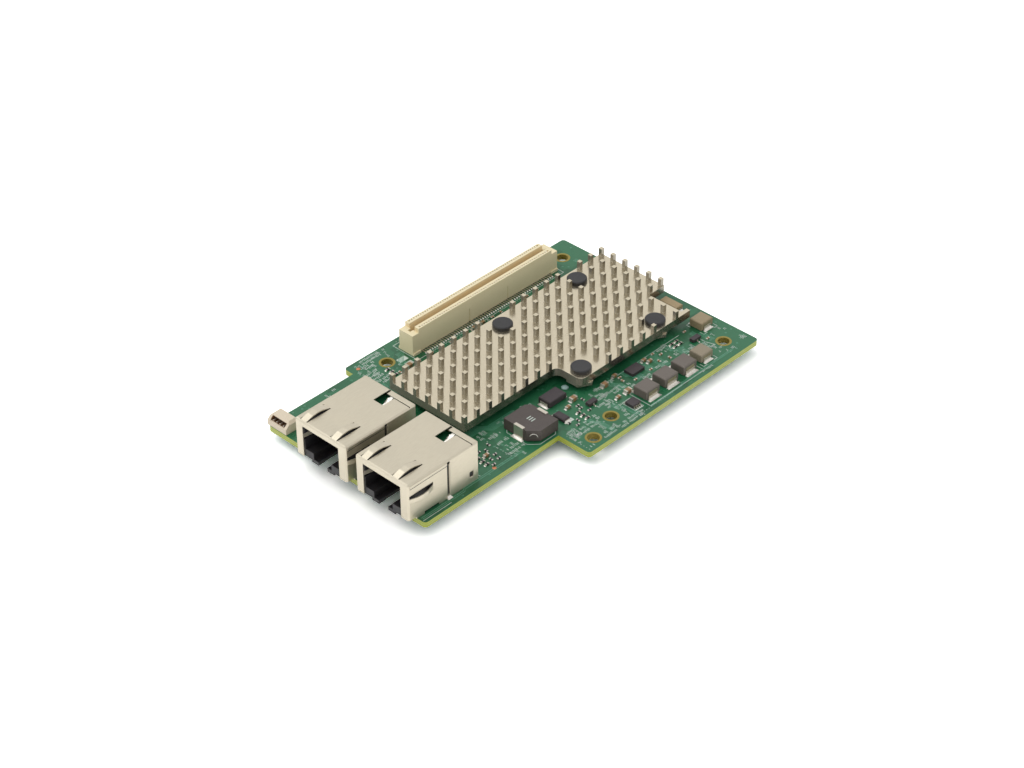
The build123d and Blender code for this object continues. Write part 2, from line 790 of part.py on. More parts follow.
def jack_insert(middle, name):
    """Moulded port: plug cavity, stepped latch way between two feet, tongue pockets and two locating pegs."""
    half_width = jack_width / 2 - sheet - shell_fit
    front = sheet + shell_fit
    foot_depth = jack_overhang - edge_clearance - front
    foot_span = latch_width + 2 * insert_foot_width
    step_floor = plug_floor - latch_step_height
    pocket_end = sheet + tongue_length + tongue_room
    with BuildPart() as insert:
        with BuildSketch(plan(0, middle, jack_front)):
            with Locations((0, (front + insert_depth) / 2)):
                Rectangle(2 * half_width, insert_depth - front)
        extrude(amount=jack_height - sheet - shell_fit)
        with BuildSketch(plan(0, middle, jack_front)):
            with Locations((0, front + foot_depth / 2)):
                Rectangle(foot_span, foot_depth)
        extrude(amount=-insert_drop)
        with BuildSketch(plan(0, middle, jack_front)):
            with Locations((0, front + foot_depth / 2)):
                Rectangle(2 * half_width, foot_depth)
                Rectangle(foot_span, foot_depth, mode=Mode.SUBTRACT)
        extrude(amount=leg_rise, mode=Mode.SUBTRACT)
        with BuildSketch(upright_along("x", middle, jack_front)):
            with BuildLine():
                Polyline(
                    (latch_width / 2, -insert_drop),
                    (latch_width / 2, step_floor),
                    (latch_step_width / 2, step_floor),
                    (latch_step_width / 2, plug_floor),
                    (plug_width / 2, plug_floor),
                    (plug_width / 2, plug_top),
                    (0, plug_top),
                    (0, -insert_drop),
                    close=True,
                )
            make_face()
            mirror(about=Plane.YZ)
        extrude(amount=-plug_depth, mode=Mode.SUBTRACT)
        with BuildSketch(plan(tongue_level - tongue_room, middle, jack_front)):
            with Locations((0, (front + pocket_end) / 2)):
                Rectangle(port_width + 2 * (sheet + tongue_room), pocket_end - front)
        extrude(amount=tongue_width + 2 * tongue_room, mode=Mode.SUBTRACT)
        with BuildSketch(plan(0, middle, jack_front)):
            with Locations((0, peg_setback)):
                with GridLocations(peg_spacing, 1, 2, 1):
                    RegularPolygon(peg_diameter / 2, peg_sides)
        extrude(amount=-board_thickness)
    save(insert, name)


def jack_contacts(middle, name):
    """Eight spring contacts that slope back from the ceiling of the plug cavity."""
    run = jack_contact_end - jack_contact_start
    tip = plug_top - jack_contact_fall
    fold = jack_contact_thickness * run / jack_contact_fall
    with BuildPart() as contact:
        with BuildSketch(upright_along("y", middle, jack_front)):
            with BuildLine():
                Polyline(
                    (jack_contact_start, plug_top),
                    (jack_contact_end, tip),
                    (jack_contact_end, tip + jack_contact_thickness),
                    (jack_contact_start + fold, plug_top),
                    close=True,
                )
            make_face()
        extrude(amount=jack_contact_width / 2, both=True)
    with BuildPart() as contacts:
        with GridLocations(jack_contact_pitch, 1, jack_contact_count, 1):
            add(contact.part)
    save(contacts, name)


def jack_magnetics(middle, name):
    """Transformer block behind the port, the small board on top of it and its tails through the board."""
    width = jack_width - 2 * sheet - 2 * shell_fit
    start = insert_depth + shell_fit
    with BuildPart() as block:
        with BuildSketch(plan(0, middle, jack_front)):
            with Locations((0, start + magnetics_depth / 2)):
                Rectangle(width, magnetics_depth)
        extrude(amount=magnetics_height)
    save(block, f"{name}_magnetics")

    with BuildPart() as inner_board:
        with BuildSketch(plan(magnetics_height, middle, jack_front)):
            with Locations((0, start + magnetics_depth / 2)):
                Rectangle(width - 2 * inner_board_margin, magnetics_depth - inner_board_margin)
        extrude(amount=inner_board_thickness)
    save(inner_board, f"{name}_inner_board")

    with BuildPart() as tails:
        with BuildSketch(plan(0, middle, jack_front)):
            with Locations((0, tail_middle)):
                with GridLocations(tail_pitch_x, tail_pitch_y, tail_columns, tail_rows):
                    Rectangle(tail_width, tail_width)
        extrude(amount=-board_thickness - tail_reach)
    save(tails, f"{name}_tails")


def body_plane(axis, place, height=0.0):
    """Level plane over a part's place whose first axis runs between the part's terminals."""
    direction = (1, 0, 0) if axis == "x" else (0, 1, 0)
    return Plane((place[0], board_y + place[1], board_top + height), x_dir=direction, z_dir=(0, 0, 1))


def terminal_pair(axis, place, half_length, body_height, width, plate_height, lip=0.0):
    """Two bent sheet terminals: a foot under the body, a plate up its end and a lip, if any, over its top."""
    outer = half_length + terminal_sheet
    top = body_height + terminal_sheet
    with BuildPart() as pair:
        with BuildSketch(upright_along(axis, *place)):
            with BuildLine():
                if lip:
                    Polyline(
                        (half_length - terminal_foot, 0),
                        (outer, 0),
                        (outer, top),
                        (half_length - lip, top),
                        (half_length - lip, body_height),
                        (half_length, body_height),
                        (half_length, terminal_sheet),
                        (half_length - terminal_foot, terminal_sheet),
                        close=True,
                    )
                else:
                    Polyline(
                        (half_length - terminal_foot, 0),
                        (outer, 0),
                        (outer, plate_height),
                        (half_length, plate_height),
                        (half_length, terminal_sheet),
                        (half_length - terminal_foot, terminal_sheet),
                        close=True,
                    )
            make_face()
            mirror(about=Plane.YZ)
        extrude(amount=width / 2, both=True)
    return pair


def block_part(name, axis, size, place, terminal_width, plate_height):
    """Moulded or pressed block with bevelled top edges on two bent terminals."""
    length, width = (size[0], size[1]) if axis == "x" else (size[1], size[0])
    with BuildPart() as body:
        with BuildSketch(body_plane(axis, place, terminal_sheet)):
            Rectangle(length, width)
        extrude(amount=size[2] - terminal_sheet)
        chamfer(body.edges().group_by(Axis.Z)[-1], body_bevel)
    save(body, f"{name}_body")
    terminals = terminal_pair(axis, place, length / 2, size[2], terminal_width, plate_height)
    save(terminals, f"{name}_terminals")


def bulk_inductor():
    """Large power inductor with two cut corners and terminals folded over its top edge."""
    width, length, height = bulk_inductor_size
    x, y = measured(sink_side, bulk_inductor_place)
    with BuildPart() as core:
        with BuildSketch(plan(terminal_sheet, x, y)):
            Rectangle(width, length)
        extrude(amount=height - terminal_sheet)
        corners = core.edges().filter_by(Axis.Z)
        front_corner = corners.sort_by_distance((x + width / 2, board_y + y - length / 2, board_top))[0]
        back_corner = corners.sort_by_distance((x - width / 2, board_y + y + length / 2, board_top))[0]
        chamfer(front_corner, bulk_inductor_front_cut)
        chamfer(back_corner, bulk_inductor_back_cut)
    save(core, "bulk_inductor_core")
    terminals = terminal_pair("y", (x, y), length / 2, height, bulk_terminal_width, height, bulk_terminal_lip)
    save(terminals, "bulk_inductor_terminals")


def leaded_bodies(size, places):
    """Moulded bodies that stand on their leads' level."""
    with BuildPart() as bodies:
        for place in places:
            with BuildSketch(body_plane("x", place, lead_thickness)):
                Rectangle(size[0], size[1])
            extrude(amount=size[2] - lead_thickness)
    return bodies


def lead_rows(size, places, pitch, left_count, right_count):
    """Gull-wing leads along the two long sides of each body."""
    half = size[0] / 2
    shoulder_top = lead_shoulder + lead_thickness
    with BuildPart() as leads:
        for place in places:
            for side, count in ((-1, left_count), (1, right_count)):
                for number in range(count):
                    offset = (number - (count - 1) / 2) * pitch * (left_count - 1) / max(count - 1, 1)
                    with BuildSketch(upright_along("x", place[0], place[1] + offset)):
                        with BuildLine():
                            Polyline(
                                (side * half, 0),
                                (side * (half + lead_reach), 0),
                                (side * (half + lead_reach), lead_thickness),
                                (side * (half + lead_thickness), lead_thickness),
                                (side * (half + lead_thickness), shoulder_top),
                                (side * half, shoulder_top),
                                close=True,
                            )
                        make_face()
                    extrude(amount=lead_width / 2, both=True)
    return leads


def chip_bodies(groups):
    """Ceramic bodies of small two-ended chips, between their metal ends."""
    with BuildPart() as bodies:
        for size, end_length, places in groups:
            with BuildSketch(plan(0)):
                with Locations(*places):
                    Rectangle(size[0], size[1] - 2 * end_length)
            extrude(amount=size[2])
    return bodies


def chip_ends(groups):
    """Metal ends of small two-ended chips."""
    with BuildPart() as ends:
        for size, end_length, places in groups:
            end_offset = (size[1] - end_length) / 2
            with BuildSketch(plan(0)):
                for x, y in places:
                    with Locations((x, y - end_offset), (x, y + end_offset)):
                        Rectangle(size[0], end_length)
            extrude(amount=size[2])
    return ends


def row(first, pitch, count):
    """Places in a row along X."""
    return [(first[0] + number * pitch, first[1]) for number in range(count)]


# Board, heat sink and the pieces between them
circuit_board()
heat_sink()
controller()
push_pins()

# Connectors
mezzanine_connector()
header()
for jack_number, jack_middle in enumerate(jack_middles, start=1):
    jack_shield(jack_middle, f"jack_{jack_number}_shield")
    jack_insert(jack_middle, f"jack_{jack_number}_insert")
    jack_contacts(jack_middle, f"jack_{jack_number}_contacts")
    jack_magnetics(jack_middle, f"jack_{jack_number}")

# Power parts
bulk_inductor()
for inductor_number in range(inductor_row_count):
    row_x, row_y = measured(back_corner, inductor_row_start)
    block_part(
        f"inductor_{inductor_number + 1}",
        "x",
        inductor_size,
        (row_x, row_y + inductor_number * inductor_pitch),
        inductor_terminal_width,
        inductor_terminal_height,
    )
for inductor_name, inductor_place in (
    ("inductor_4", row_small_inductor_place),
    ("inductor_5", back_small_inductor_place),
):
    block_part(
        inductor_name,
        "x",
        small_inductor_size,
        measured(back_corner, inductor_place),
        small_terminal_width,
        inductor_terminal_height,
    )
block_part(
    "polymer_capacitor",
    "y",
    polymer_size,
    measured(sink_side, polymer_place),
    polymer_terminal_width,
    polymer_terminal_height,
)
block_part(
    "tantalum_capacitor",
    "x",
    tantalum_size,
    measured(cut_side, tantalum_place),
    tantalum_terminal_width,
    polymer_terminal_height,
)
block_part(
    "diode",
    "x",
    diode_size,
    measured(sink_side, diode_place),
    diode_terminal_width,
    diode_terminal_height,
)

# Small chips
with BuildPart() as regulator_chip:
    with BuildSketch(plan(0, *measured(back_corner, regulator_place))):
        Rectangle(regulator_size[0], regulator_size[1])
    extrude(amount=regulator_size[2])
save(regulator_chip, "regulator_chip")
memory_places = [measured(back_corner, memory_place)]
save(leaded_bodies(memory_size, memory_places), "memory_chip_body")
save(
    lead_rows(memory_size, memory_places, memory_lead_pitch, memory_lead_count, memory_lead_count),
    "memory_chip_leads",
)
transistor_places = [
    measured(sink_side, sink_transistor_place),
    measured(back_corner, corner_transistor_place),
]
save(leaded_bodies(transistor_size, transistor_places), "transistor_bodies")
save(
    lead_rows(
        transistor_size,
        transistor_places,
        transistor_lead_pitch,
        transistor_left_lead_count,
        transistor_right_lead_count,
    ),
    "transistor_leads",
)

# Small capacitors and resistors
large_capacitor_places = (
    [measured(back_corner, place) for place in corner_large_capacitor_places]
    + [measured(sink_side, place) for place in sink_large_capacitor_places]
    + [measured(connector_side, place) for place in connector_large_capacitor_places]
)
small_capacitor_places = (
    [measured(back_corner, place) for place in corner_small_capacitor_places]
    + [measured(sink_side, place) for place in sink_small_capacitor_places]
    + [measured(jack_side, place) for place in jack_small_capacitor_places]
    + [measured(connector_side, place) for place in connector_small_capacitor_places]
)
capacitor_groups = (
    (large_capacitor_size, large_capacitor_end, large_capacitor_places),
    (small_capacitor_size, small_capacitor_end, small_capacitor_places),
)
save(chip_bodies(capacitor_groups), "capacitor_bodies")
save(chip_ends(capacitor_groups), "capacitor_ends")
resistor_places = (
    row(measured(sink_side, resistor_row_place), resistor_row_pitch, resistor_row_count)
    + row(measured(jack_side, front_resistor_place), resistor_row_pitch, front_resistor_count)
    + row(measured(connector_side, left_resistor_place), -resistor_row_pitch, left_resistor_count)
)
bank_x, bank_y = measured(back_corner, resistor_bank_place)
for bank_line in range(resistor_bank_count[1]):
    bank_start = (bank_x, bank_y + bank_line * resistor_bank_pitch[1])
    resistor_places += row(bank_start, resistor_bank_pitch[0], resistor_bank_count[0])
resistor_groups = ((resistor_size, resistor_end, resistor_places),)
save(chip_bodies(resistor_groups), "resistor_bodies")
save(chip_ends(resistor_groups), "resistor_ends")
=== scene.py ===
"""Looks of a two-port network card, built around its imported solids.

The solids keep their places and get their finishes here. The script adds the solder, the white print,
the copper under the solder mask, the plated holes, the smallest chips and the sheet details of the jacks
and inductors, then the floor, light and camera.
"""

import json
import logging
import math
import random
from collections.abc import Callable, Iterable, Sequence
from dataclasses import dataclass, field
from enum import Enum

import bpy
from mathutils import Matrix, Vector


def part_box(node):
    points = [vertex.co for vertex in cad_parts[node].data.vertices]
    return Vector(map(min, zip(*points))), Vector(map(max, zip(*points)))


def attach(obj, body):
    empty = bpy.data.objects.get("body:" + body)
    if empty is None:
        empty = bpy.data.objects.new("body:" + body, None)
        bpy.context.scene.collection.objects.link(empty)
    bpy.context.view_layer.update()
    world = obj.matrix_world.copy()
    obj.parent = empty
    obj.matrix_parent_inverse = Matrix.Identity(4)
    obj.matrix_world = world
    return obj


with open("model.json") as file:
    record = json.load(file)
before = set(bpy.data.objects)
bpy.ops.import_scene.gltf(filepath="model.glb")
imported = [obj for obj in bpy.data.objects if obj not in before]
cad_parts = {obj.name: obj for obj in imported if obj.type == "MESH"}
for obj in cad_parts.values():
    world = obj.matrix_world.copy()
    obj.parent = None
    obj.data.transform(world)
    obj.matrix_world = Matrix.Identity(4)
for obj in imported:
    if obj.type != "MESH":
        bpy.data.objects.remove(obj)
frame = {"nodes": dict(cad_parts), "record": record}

LOG = logging.getLogger("network_card")
MM = 0.001
BODY = "root"
JACKS = ("jack_1", "jack_2")
SMOOTH_ANGLE = math.radians(40)
# A face leans where its normal's part along an axis passes the first value, and is level past the second.
LEANING, LEVEL = 0.4, 0.6
# Corners that are closer than a tenth of a micrometre count as one.
KEYS_PER_METRE = 1e7
# Divides a wave texture's scale, to give one wave per length.
WAVE_TURN = 6.3
# Lengths that count as nothing, in metres.
HAIR, SLACK = 1e-6, 0.01 * MM
SMOOTHEST = 0.02
Box = tuple[Vector, Vector]
Point = tuple[float, float]
Triple = tuple[float, float, float]
Key = tuple[int, int, int]
Colour = tuple[int, int, int]


class Pick(Enum):
    """What a selection rule picks on a mesh."""

    FACES = (False, False, True)
    EDGES = (False, True, False)


class Grain(Enum):
    """Direction of a surface's fine grain, as a stretch along X, Y and Z."""

    EVEN = (1.0, 1.0, 1.0)
    ALONG_Y = (1.0, 0.06, 1.0)


def linear(colour: Colour) -> tuple[float, float, float, float]:
    """Turn a display colour into the linear one that sockets take.

    Args:
        colour: Red, green and blue from 0 to 255, as seen on a screen.

    Returns:
        The linear colour with full alpha.
    """
    parts = [value / 255 for value in colour]
    red, green, blue = [p / 12.92 if p <= 0.04045 else ((p + 0.055) / 1.055) ** 2.4 for p in parts]
    return (red, green, blue, 1.0)


# Modelling by operators


def deselect_all() -> None:
    """Leave object mode on and nothing selected."""
    active = bpy.context.view_layer.objects.active
    if active is not None and active.mode != "OBJECT":
        bpy.ops.object.mode_set(mode="OBJECT")
    bpy.ops.object.select_all(action="DESELECT")


def begin(name: str) -> bpy.types.Object:
    """Name the primitive that was just added and apply its turn and scale.

    Args:
        name: The piece's name.

    Returns:
        The new piece.
    """
    piece = bpy.context.object
    piece.name = name
    bpy.ops.object.transform_apply(location=False, rotation=True, scale=True)
    return piece


def pick(piece: bpy.types.Object, kind: Pick, rule: Callable[..., bool]) -> None:
    """Select faces or edges of a piece by a rule and leave it in edit mode.

    Args:
        piece: The piece that is being modelled.
        kind: Whether faces or edges are picked.
        rule: Takes a face's centre and normal, or an edge's two ends, and says whether it is picked.
    """
    if piece.mode != "OBJECT":
        bpy.ops.object.mode_set(mode="OBJECT")
    mesh = piece.data
    for items in (mesh.vertices, mesh.edges, mesh.polygons):
        items.foreach_set("select", [False] * len(items))
    bpy.context.tool_settings.mesh_select_mode = kind.value
    if kind is Pick.FACES:
        for face in mesh.polygons:
            face.select = rule(face.center, face.normal)
    else:
        for edge in mesh.edges:
            edge.select = rule(*(mesh.vertices[corner].co for corner in edge.vertices))
    bpy.ops.object.mode_set(mode="EDIT")


def apply_modifier(piece: bpy.types.Object, kind: str, **settings: object) -> None:
    """Add a modifier to a piece and apply it.

    Args:
        piece: The piece that is being modelled.
        kind: The modifier's type.
        settings: The modifier's own options.
    """
    deselect_all()
    piece.select_set(True)
    bpy.context.view_layer.objects.active = piece
    modifier = piece.modifiers.new(kind.title(), kind)
    for name, value in settings.items():
        setattr(modifier, name, value)
    bpy.ops.object.modifier_apply(modifier=modifier.name)


def slab(name: str, size: Sequence[float], bevel: float = 0.0, segments: int = 1) -> bpy.types.Object:
    """Model a flat block that stands on the origin, with its upper edges bevelled.

    Args:
        name: The piece's name.
        size: Length, width and height in metres.
        bevel: Width of the bevel in metres, or 0 for none.
        segments: Steps in the bevel.

    Returns:
        The new piece.
    """
    deselect_all()
    bpy.ops.mesh.primitive_cube_add(size=1, location=(0, 0, 0), scale=size)
    piece = begin(name)
    bpy.ops.object.mode_set(mode="EDIT")
    bpy.ops.mesh.select_all(action="SELECT")
    bpy.ops.transform.translate(value=(0, 0, size[2] / 2))
    if bevel:
        pick(piece, Pick.EDGES, lambda a, b: a.z + b.z > size[2] * 1.5)
        bpy.ops.mesh.bevel(offset=bevel, segments=segments, affect="EDGES")
    bpy.ops.object.mode_set(mode="OBJECT")
    return piece


def solder_wedge(name: str) -> bpy.types.Object:
    """Model a hollow solder fillet of 1 mm each way that rises towards -X and runs out towards +X.

    Args:
        name: The piece's name.

    Returns:
        The new piece, with its back at the origin. Its copies are stretched to their joints.
    """
    outer, foot = 0.9 * MM, 0.3 * MM
    hollow, hollow_steps, hollow_profile = 0.94 * MM, 4, 0.14
    narrowing = 0.72
    piece = slab(name, (MM, MM, MM))
    bpy.ops.object.mode_set(mode="EDIT")
    bpy.ops.mesh.select_all(action="SELECT")
    bpy.ops.transform.translate(value=(MM / 2, 0, 0))
    pick(piece, Pick.EDGES, lambda a, b: min(a.x, a.z, b.x, b.z) > outer)
    bpy.ops.mesh.bevel(offset=hollow, segments=hollow_steps, profile=hollow_profile, affect="EDGES")
    pick(piece, Pick.EDGES, lambda a, b: min(a.z, b.z) > foot)
    bpy.ops.transform.resize(value=(1, narrowing, 1), center_override=(0, 0, 0))
    bpy.ops.object.mode_set(mode="OBJECT")
    return piece


def disc(name: str, radius: float, height: float, corners: int, bevel: float) -> bpy.types.Object:
    """Model a low round boss that stands on the origin, with a bevelled rim.

    Args:
        name: The piece's name.
        radius: Outer radius in metres.
        height: Height in metres.
        corners: Corners of its outline.
        bevel: Width of the rim's bevel in metres.

    Returns:
        The new piece.
    """
    deselect_all()
    bpy.ops.mesh.primitive_circle_add(vertices=corners, radius=radius, fill_type="NGON")
    piece = begin(name)
    bpy.ops.object.mode_set(mode="EDIT")
    bpy.ops.mesh.select_all(action="SELECT")
    bpy.ops.mesh.extrude_region_move(TRANSFORM_OT_translate={"value": (0, 0, height)})
    bpy.ops.mesh.select_all(action="SELECT")
    bpy.ops.mesh.normals_make_consistent(inside=False)
    pick(piece, Pick.EDGES, lambda a, b: min(a.z, b.z) > height * 0.5)
    bpy.ops.mesh.bevel(offset=bevel, segments=2, affect="EDGES")
    bpy.ops.object.mode_set(mode="OBJECT")
    return piece


def ring(name: str, outer: float, inner: float, height: float, corners: int) -> bpy.types.Object:
    """Model a flat ring that stands on the origin.

    Args:
        name: The piece's name.
        outer: Outer radius in metres.
        inner: Inner radius in metres.
        height: Thickness in metres.
        corners: Corners of its outline.

    Returns:
        The new piece.
    """
    deselect_all()
    bpy.ops.mesh.primitive_circle_add(vertices=corners, radius=outer, fill_type="NGON")
    piece = begin(name)
    bpy.ops.object.mode_set(mode="EDIT")
    bpy.ops.mesh.select_all(action="SELECT")
    bpy.ops.mesh.inset(thickness=(outer - inner) * math.cos(math.pi / corners), depth=0)
    bpy.ops.mesh.delete(type="FACE")
    bpy.ops.object.mode_set(mode="OBJECT")
    apply_modifier(piece, "SOLIDIFY", thickness=height, offset=1.0)
    return piece


def ribbon(name: str, width: float, height: float, moves: Sequence[Point]) -> bpy.types.Object:
    """Model a flat strip from the origin along a route of straight moves.

    Args:
        name: The piece's name.
        width: Width across the route, along Y, in metres.
        height: Thickness in metres.
        moves: Steps in X and Y, in metres. The first one runs along X.

    Returns:
        The new piece.
    """
    first = moves[0][0]
    deselect_all()
    bpy.ops.mesh.primitive_plane_add(size=1, location=(0, 0, 0))
    bpy.ops.transform.resize(value=(first, width, 1))
    piece = begin(name)
    bpy.ops.object.mode_set(mode="EDIT")
    bpy.ops.mesh.select_all(action="SELECT")
    bpy.ops.transform.translate(value=(first / 2, 0, 0))
    pick(piece, Pick.EDGES, lambda a, b: min(a.x, b.x) > first * 0.9)
    for step in moves[1:]:
        bpy.ops.mesh.extrude_region_move(TRANSFORM_OT_translate={"value": (step[0], step[1], 0)})
    bpy.ops.object.mode_set(mode="OBJECT")
    apply_modifier(piece, "SOLIDIFY", thickness=height, offset=1.0)
    return piece


def copies(master: bpy.types.Object, name: str, places: Iterable[Matrix]) -> bpy.types.Object:
    """Copy a modelled piece to each place and join the copies.

    Args:
        master: The piece to copy, which is used up.
        name: The joined piece's name.
        places: A placement for each copy.

    Returns:
        The joined piece.
    """
    made = []
    for place in places:
        copy = master.copy()
        copy.data = master.data.copy()
        copy.data.transform(place)
        bpy.context.scene.collection.objects.link(copy)
        made.append(copy)
    spent = master.data
    bpy.data.objects.remove(master)
    bpy.data.meshes.remove(spent)
    return joined(made, name)


def joined(pieces: Sequence[bpy.types.Object], name: str) -> bpy.types.Object:
    """Join several pieces into one and name it.

    Args:
        pieces: The pieces, of which the first one stays.
        name: The joined piece's name.

    Returns:
        The joined piece.
    """
    deselect_all()
    for piece in pieces:
        piece.select_set(True)
    bpy.context.view_layer.objects.active = pieces[0]
    if len(pieces) > 1:
        bpy.ops.object.join()
    pieces[0].name = name
    return pieces[0]


def at(x: float, y: float, z: float, turn: float = 0.0, scale: Sequence[float] = (1, 1, 1)) -> Matrix:
    """Make a placement for a copy.

    Args:
        x: Place in metres.
        y: Place in metres.
        z: Place in metres.
        turn: Turn about Z in degrees.
        scale: Stretch along the copy's own axes, before the turn.

    Returns:
        The placement.
    """
    stretch = Matrix.Diagonal((*scale, 1.0))
    return Matrix.Translation((x, y, z)) @ Matrix.Rotation(math.radians(turn), 4, "Z") @ stretch


def on_wall(side: float, wall: float, y: float, z: float, scale: Sequence[float]) -> Matrix:
    """Make a placement on a side wall for a unit slab that lies flat.

    Args:
        side: The side's sign along X.
        wall: The wall's place along X, in metres.
        y: The slab's middle along Y, in metres.
        z: The slab's middle along Z, in metres.
        scale: Height, length and thickness in metres.

    Returns:
        The placement.
    """
    turned = Matrix.Rotation(math.radians(90 * side), 4, "Y")
    return Matrix.Translation((wall, y, z)) @ turned @ Matrix.Diagonal((*scale, 1.0))


def islands(node: str) -> list[Box]:
    """Find a node's separate solids in its own mesh.

    Args:
        node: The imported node's name.

    Returns:
        The lowest and highest corner of each solid.
    """
    mesh = frame["nodes"][node].data
    owner: dict[Key, Key] = {}

    def root(key: Key) -> Key:
        """Follow a corner to the first corner of its solid.

        Args:
            key: The corner.

        Returns:
            The first corner of that solid.
        """
        while owner[key] != key:
            owner[key] = owner[owner[key]]
            key = owner[key]
        return key

    keys = [tuple(round(value * KEYS_PER_METRE) for value in corner.co) for corner in mesh.vertices]
    for key in keys:
        owner.setdefault(key, key)
    for face in mesh.polygons:
        first = root(keys[face.vertices[0]])
        for corner in face.vertices[1:]:
            owner[root(keys[corner])] = first
    found: dict[Key, list[Vector]] = {}
    for key, corner in zip(keys, mesh.vertices):
        found.setdefault(root(key), []).append(corner.co)
    return [
        (
            Vector(min(point[axis] for point in points) for axis in range(3)),
            Vector(max(point[axis] for point in points) for axis in range(3)),
        )
        for points in found.values()
    ]


def middles(node: str) -> list[Vector]:
    """Give the middles of a node's separate solids."""
    return [(low + high) / 2 for low, high in islands(node)]


# Finishes


class NodeSheet:
    """Adds shader nodes to a tree and wires them in one call each."""

    def __init__(self, tree: bpy.types.NodeTree) -> None:
        """Keep the tree that gets the nodes."""
        self.tree = tree

    def add(self, kind: str, inputs: dict | None = None, **settings: object) -> bpy.types.Node:
        """Add one node.

        Args:
            kind: The node's type.
            inputs: Values or sockets for its inputs, by name or number.
            settings: The node's own options.

        Returns:
            The new node.
        """
        node = self.tree.nodes.new(kind)
        for name, value in settings.items():
            setattr(node, name, value)
        for socket, value in (inputs or {}).items():
            if isinstance(value, bpy.types.NodeSocket):
                self.tree.links.new(value, node.inputs[socket])
            else:
                node.inputs[socket].default_value = value
        return node

    def blend(self, amount: object, first: object, second: object) -> bpy.types.NodeSocket:
        """Mix two colours and give the result."""
        node = self.add("ShaderNodeMix", {0: amount, 6: first, 7: second}, data_type="RGBA")
        return node.outputs[2]

    def math(self, operation: str, first: object, second: object = 0.0) -> bpy.types.NodeSocket:
        """Do one sum on two values and give the result, kept between 0 and 1."""
        node = self.add("ShaderNodeMath", {0: first, 1: second}, operation=operation, use_clamp=True)
        return node.outputs[0]

    def between(
        self, value: object, low: float, high: float, start: float = 0, end: float = 1
    ) -> bpy.types.NodeSocket:
        """Map a value's range onto another and give the result."""
        node = self.add("ShaderNodeMapRange", {0: value, 1: low, 2: high, 3: start, 4: end})
        return node.outputs[0]

    def facing(self) -> bpy.types.Node:
        """Split the surface's normal into X, Y and Z."""
        normal = self.add("ShaderNodeNewGeometry").outputs["Normal"]
        return self.add("ShaderNodeSeparateXYZ", {0: normal})

    def seen(self) -> bpy.types.NodeSocket:
        """Mark what the camera sees straight, by a mirror or through glass.

        Returns:
            The mark, 1 where it is seen so.
        """
        path = self.add("ShaderNodeLightPath").outputs
        bounced = self.math("MAXIMUM", path["Is Glossy Ray"], path["Is Transmission Ray"])
        return self.math("MAXIMUM", path["Is Camera Ray"], bounced)


def new_group(
    name: str, inputs: dict[str, tuple[str, float]], outputs: dict[str, str]
) -> tuple[NodeSheet, dict, dict]:
    """Start a shader node group with named sockets.

    Args:
        name: The group's name.
        inputs: Socket type and default by input name.
        outputs: Socket type by output name.

    Returns:
        The sheet to build on, the inputs' sockets and the outputs' sockets, both by name.
    """
    tree = bpy.data.node_groups.new(name, "ShaderNodeTree")
    for socket, (kind, default) in inputs.items():
        made = tree.interface.new_socket(socket, in_out="INPUT", socket_type=kind)
        if kind == "NodeSocketFloat":
            made.default_value = default
    for socket, kind in outputs.items():
        tree.interface.new_socket(socket, in_out="OUTPUT", socket_type=kind)
    sheet = NodeSheet(tree)
    entry = sheet.add("NodeGroupInput")
    leave = sheet.add("NodeGroupOutput")
    return sheet, {n: entry.outputs[n] for n in inputs}, {n: leave.inputs[n] for n in outputs}


def edge_group() -> bpy.types.NodeTree:
    """Build the group that rounds a surface's edges in shading and marks where they are.

    Returns:
        The group.
    """
    sheet, given, result = new_group(
        "soft_edges",
        {"Radius": ("NodeSocketFloat", 0.0001)},
        {"Normal": "NodeSocketVector", "Mask": "NodeSocketFloat"},
    )
    rounded = sheet.add("ShaderNodeBevel", {"Radius": given["Radius"]}, samples=4)
    flat = sheet.add("ShaderNodeNewGeometry")
    facing = sheet.add(
        "ShaderNodeVectorMath",
        {0: rounded.outputs["Normal"], 1: flat.outputs["Normal"]},
        operation="DOT_PRODUCT",
    )
    sheet.tree.links.new(rounded.outputs["Normal"], result["Normal"])
    edge_start, edge_full = 0.995, 0.8
    mask = sheet.between(facing.outputs["Value"], edge_start, edge_full)
    sheet.tree.links.new(mask, result["Mask"])
    return sheet.tree


def grain_group() -> bpy.types.NodeTree:
    """Build the group for a material's fine grain, at one size, with its height for a bump.

    Returns:
        The group.
    """
    sheet, given, result = new_group(
        "fine_grain",
        {
            "Vector": ("NodeSocketVector", 0.0),
            "Scale": ("NodeSocketFloat", 2000.0),
            "Bite": ("NodeSocketFloat", 0.5),
        },
        {"Mask": "NodeSocketFloat", "Height": "NodeSocketFloat"},
    )
    noise = sheet.add(
        "ShaderNodeTexNoise",
        {"Vector": given["Vector"], "Scale": given["Scale"], "Detail": 3.0, "Roughness": 0.6},
    )
    specks = sheet.add("ShaderNodeTexVoronoi", {"Vector": given["Vector"], "Scale": given["Scale"]})
    near, far = 0.15, 0.75
    dark, light = 0.3, 0.7
    cells = sheet.between(specks.outputs["Distance"], near, far)
    mixed = sheet.add("ShaderNodeMix", {0: given["Bite"], 2: noise.outputs["Fac"], 3: cells})
    sheet.tree.links.new(sheet.between(mixed.outputs[0], dark, light), result["Mask"])
    sheet.tree.links.new(mixed.outputs[0], result["Height"])
    return sheet.tree


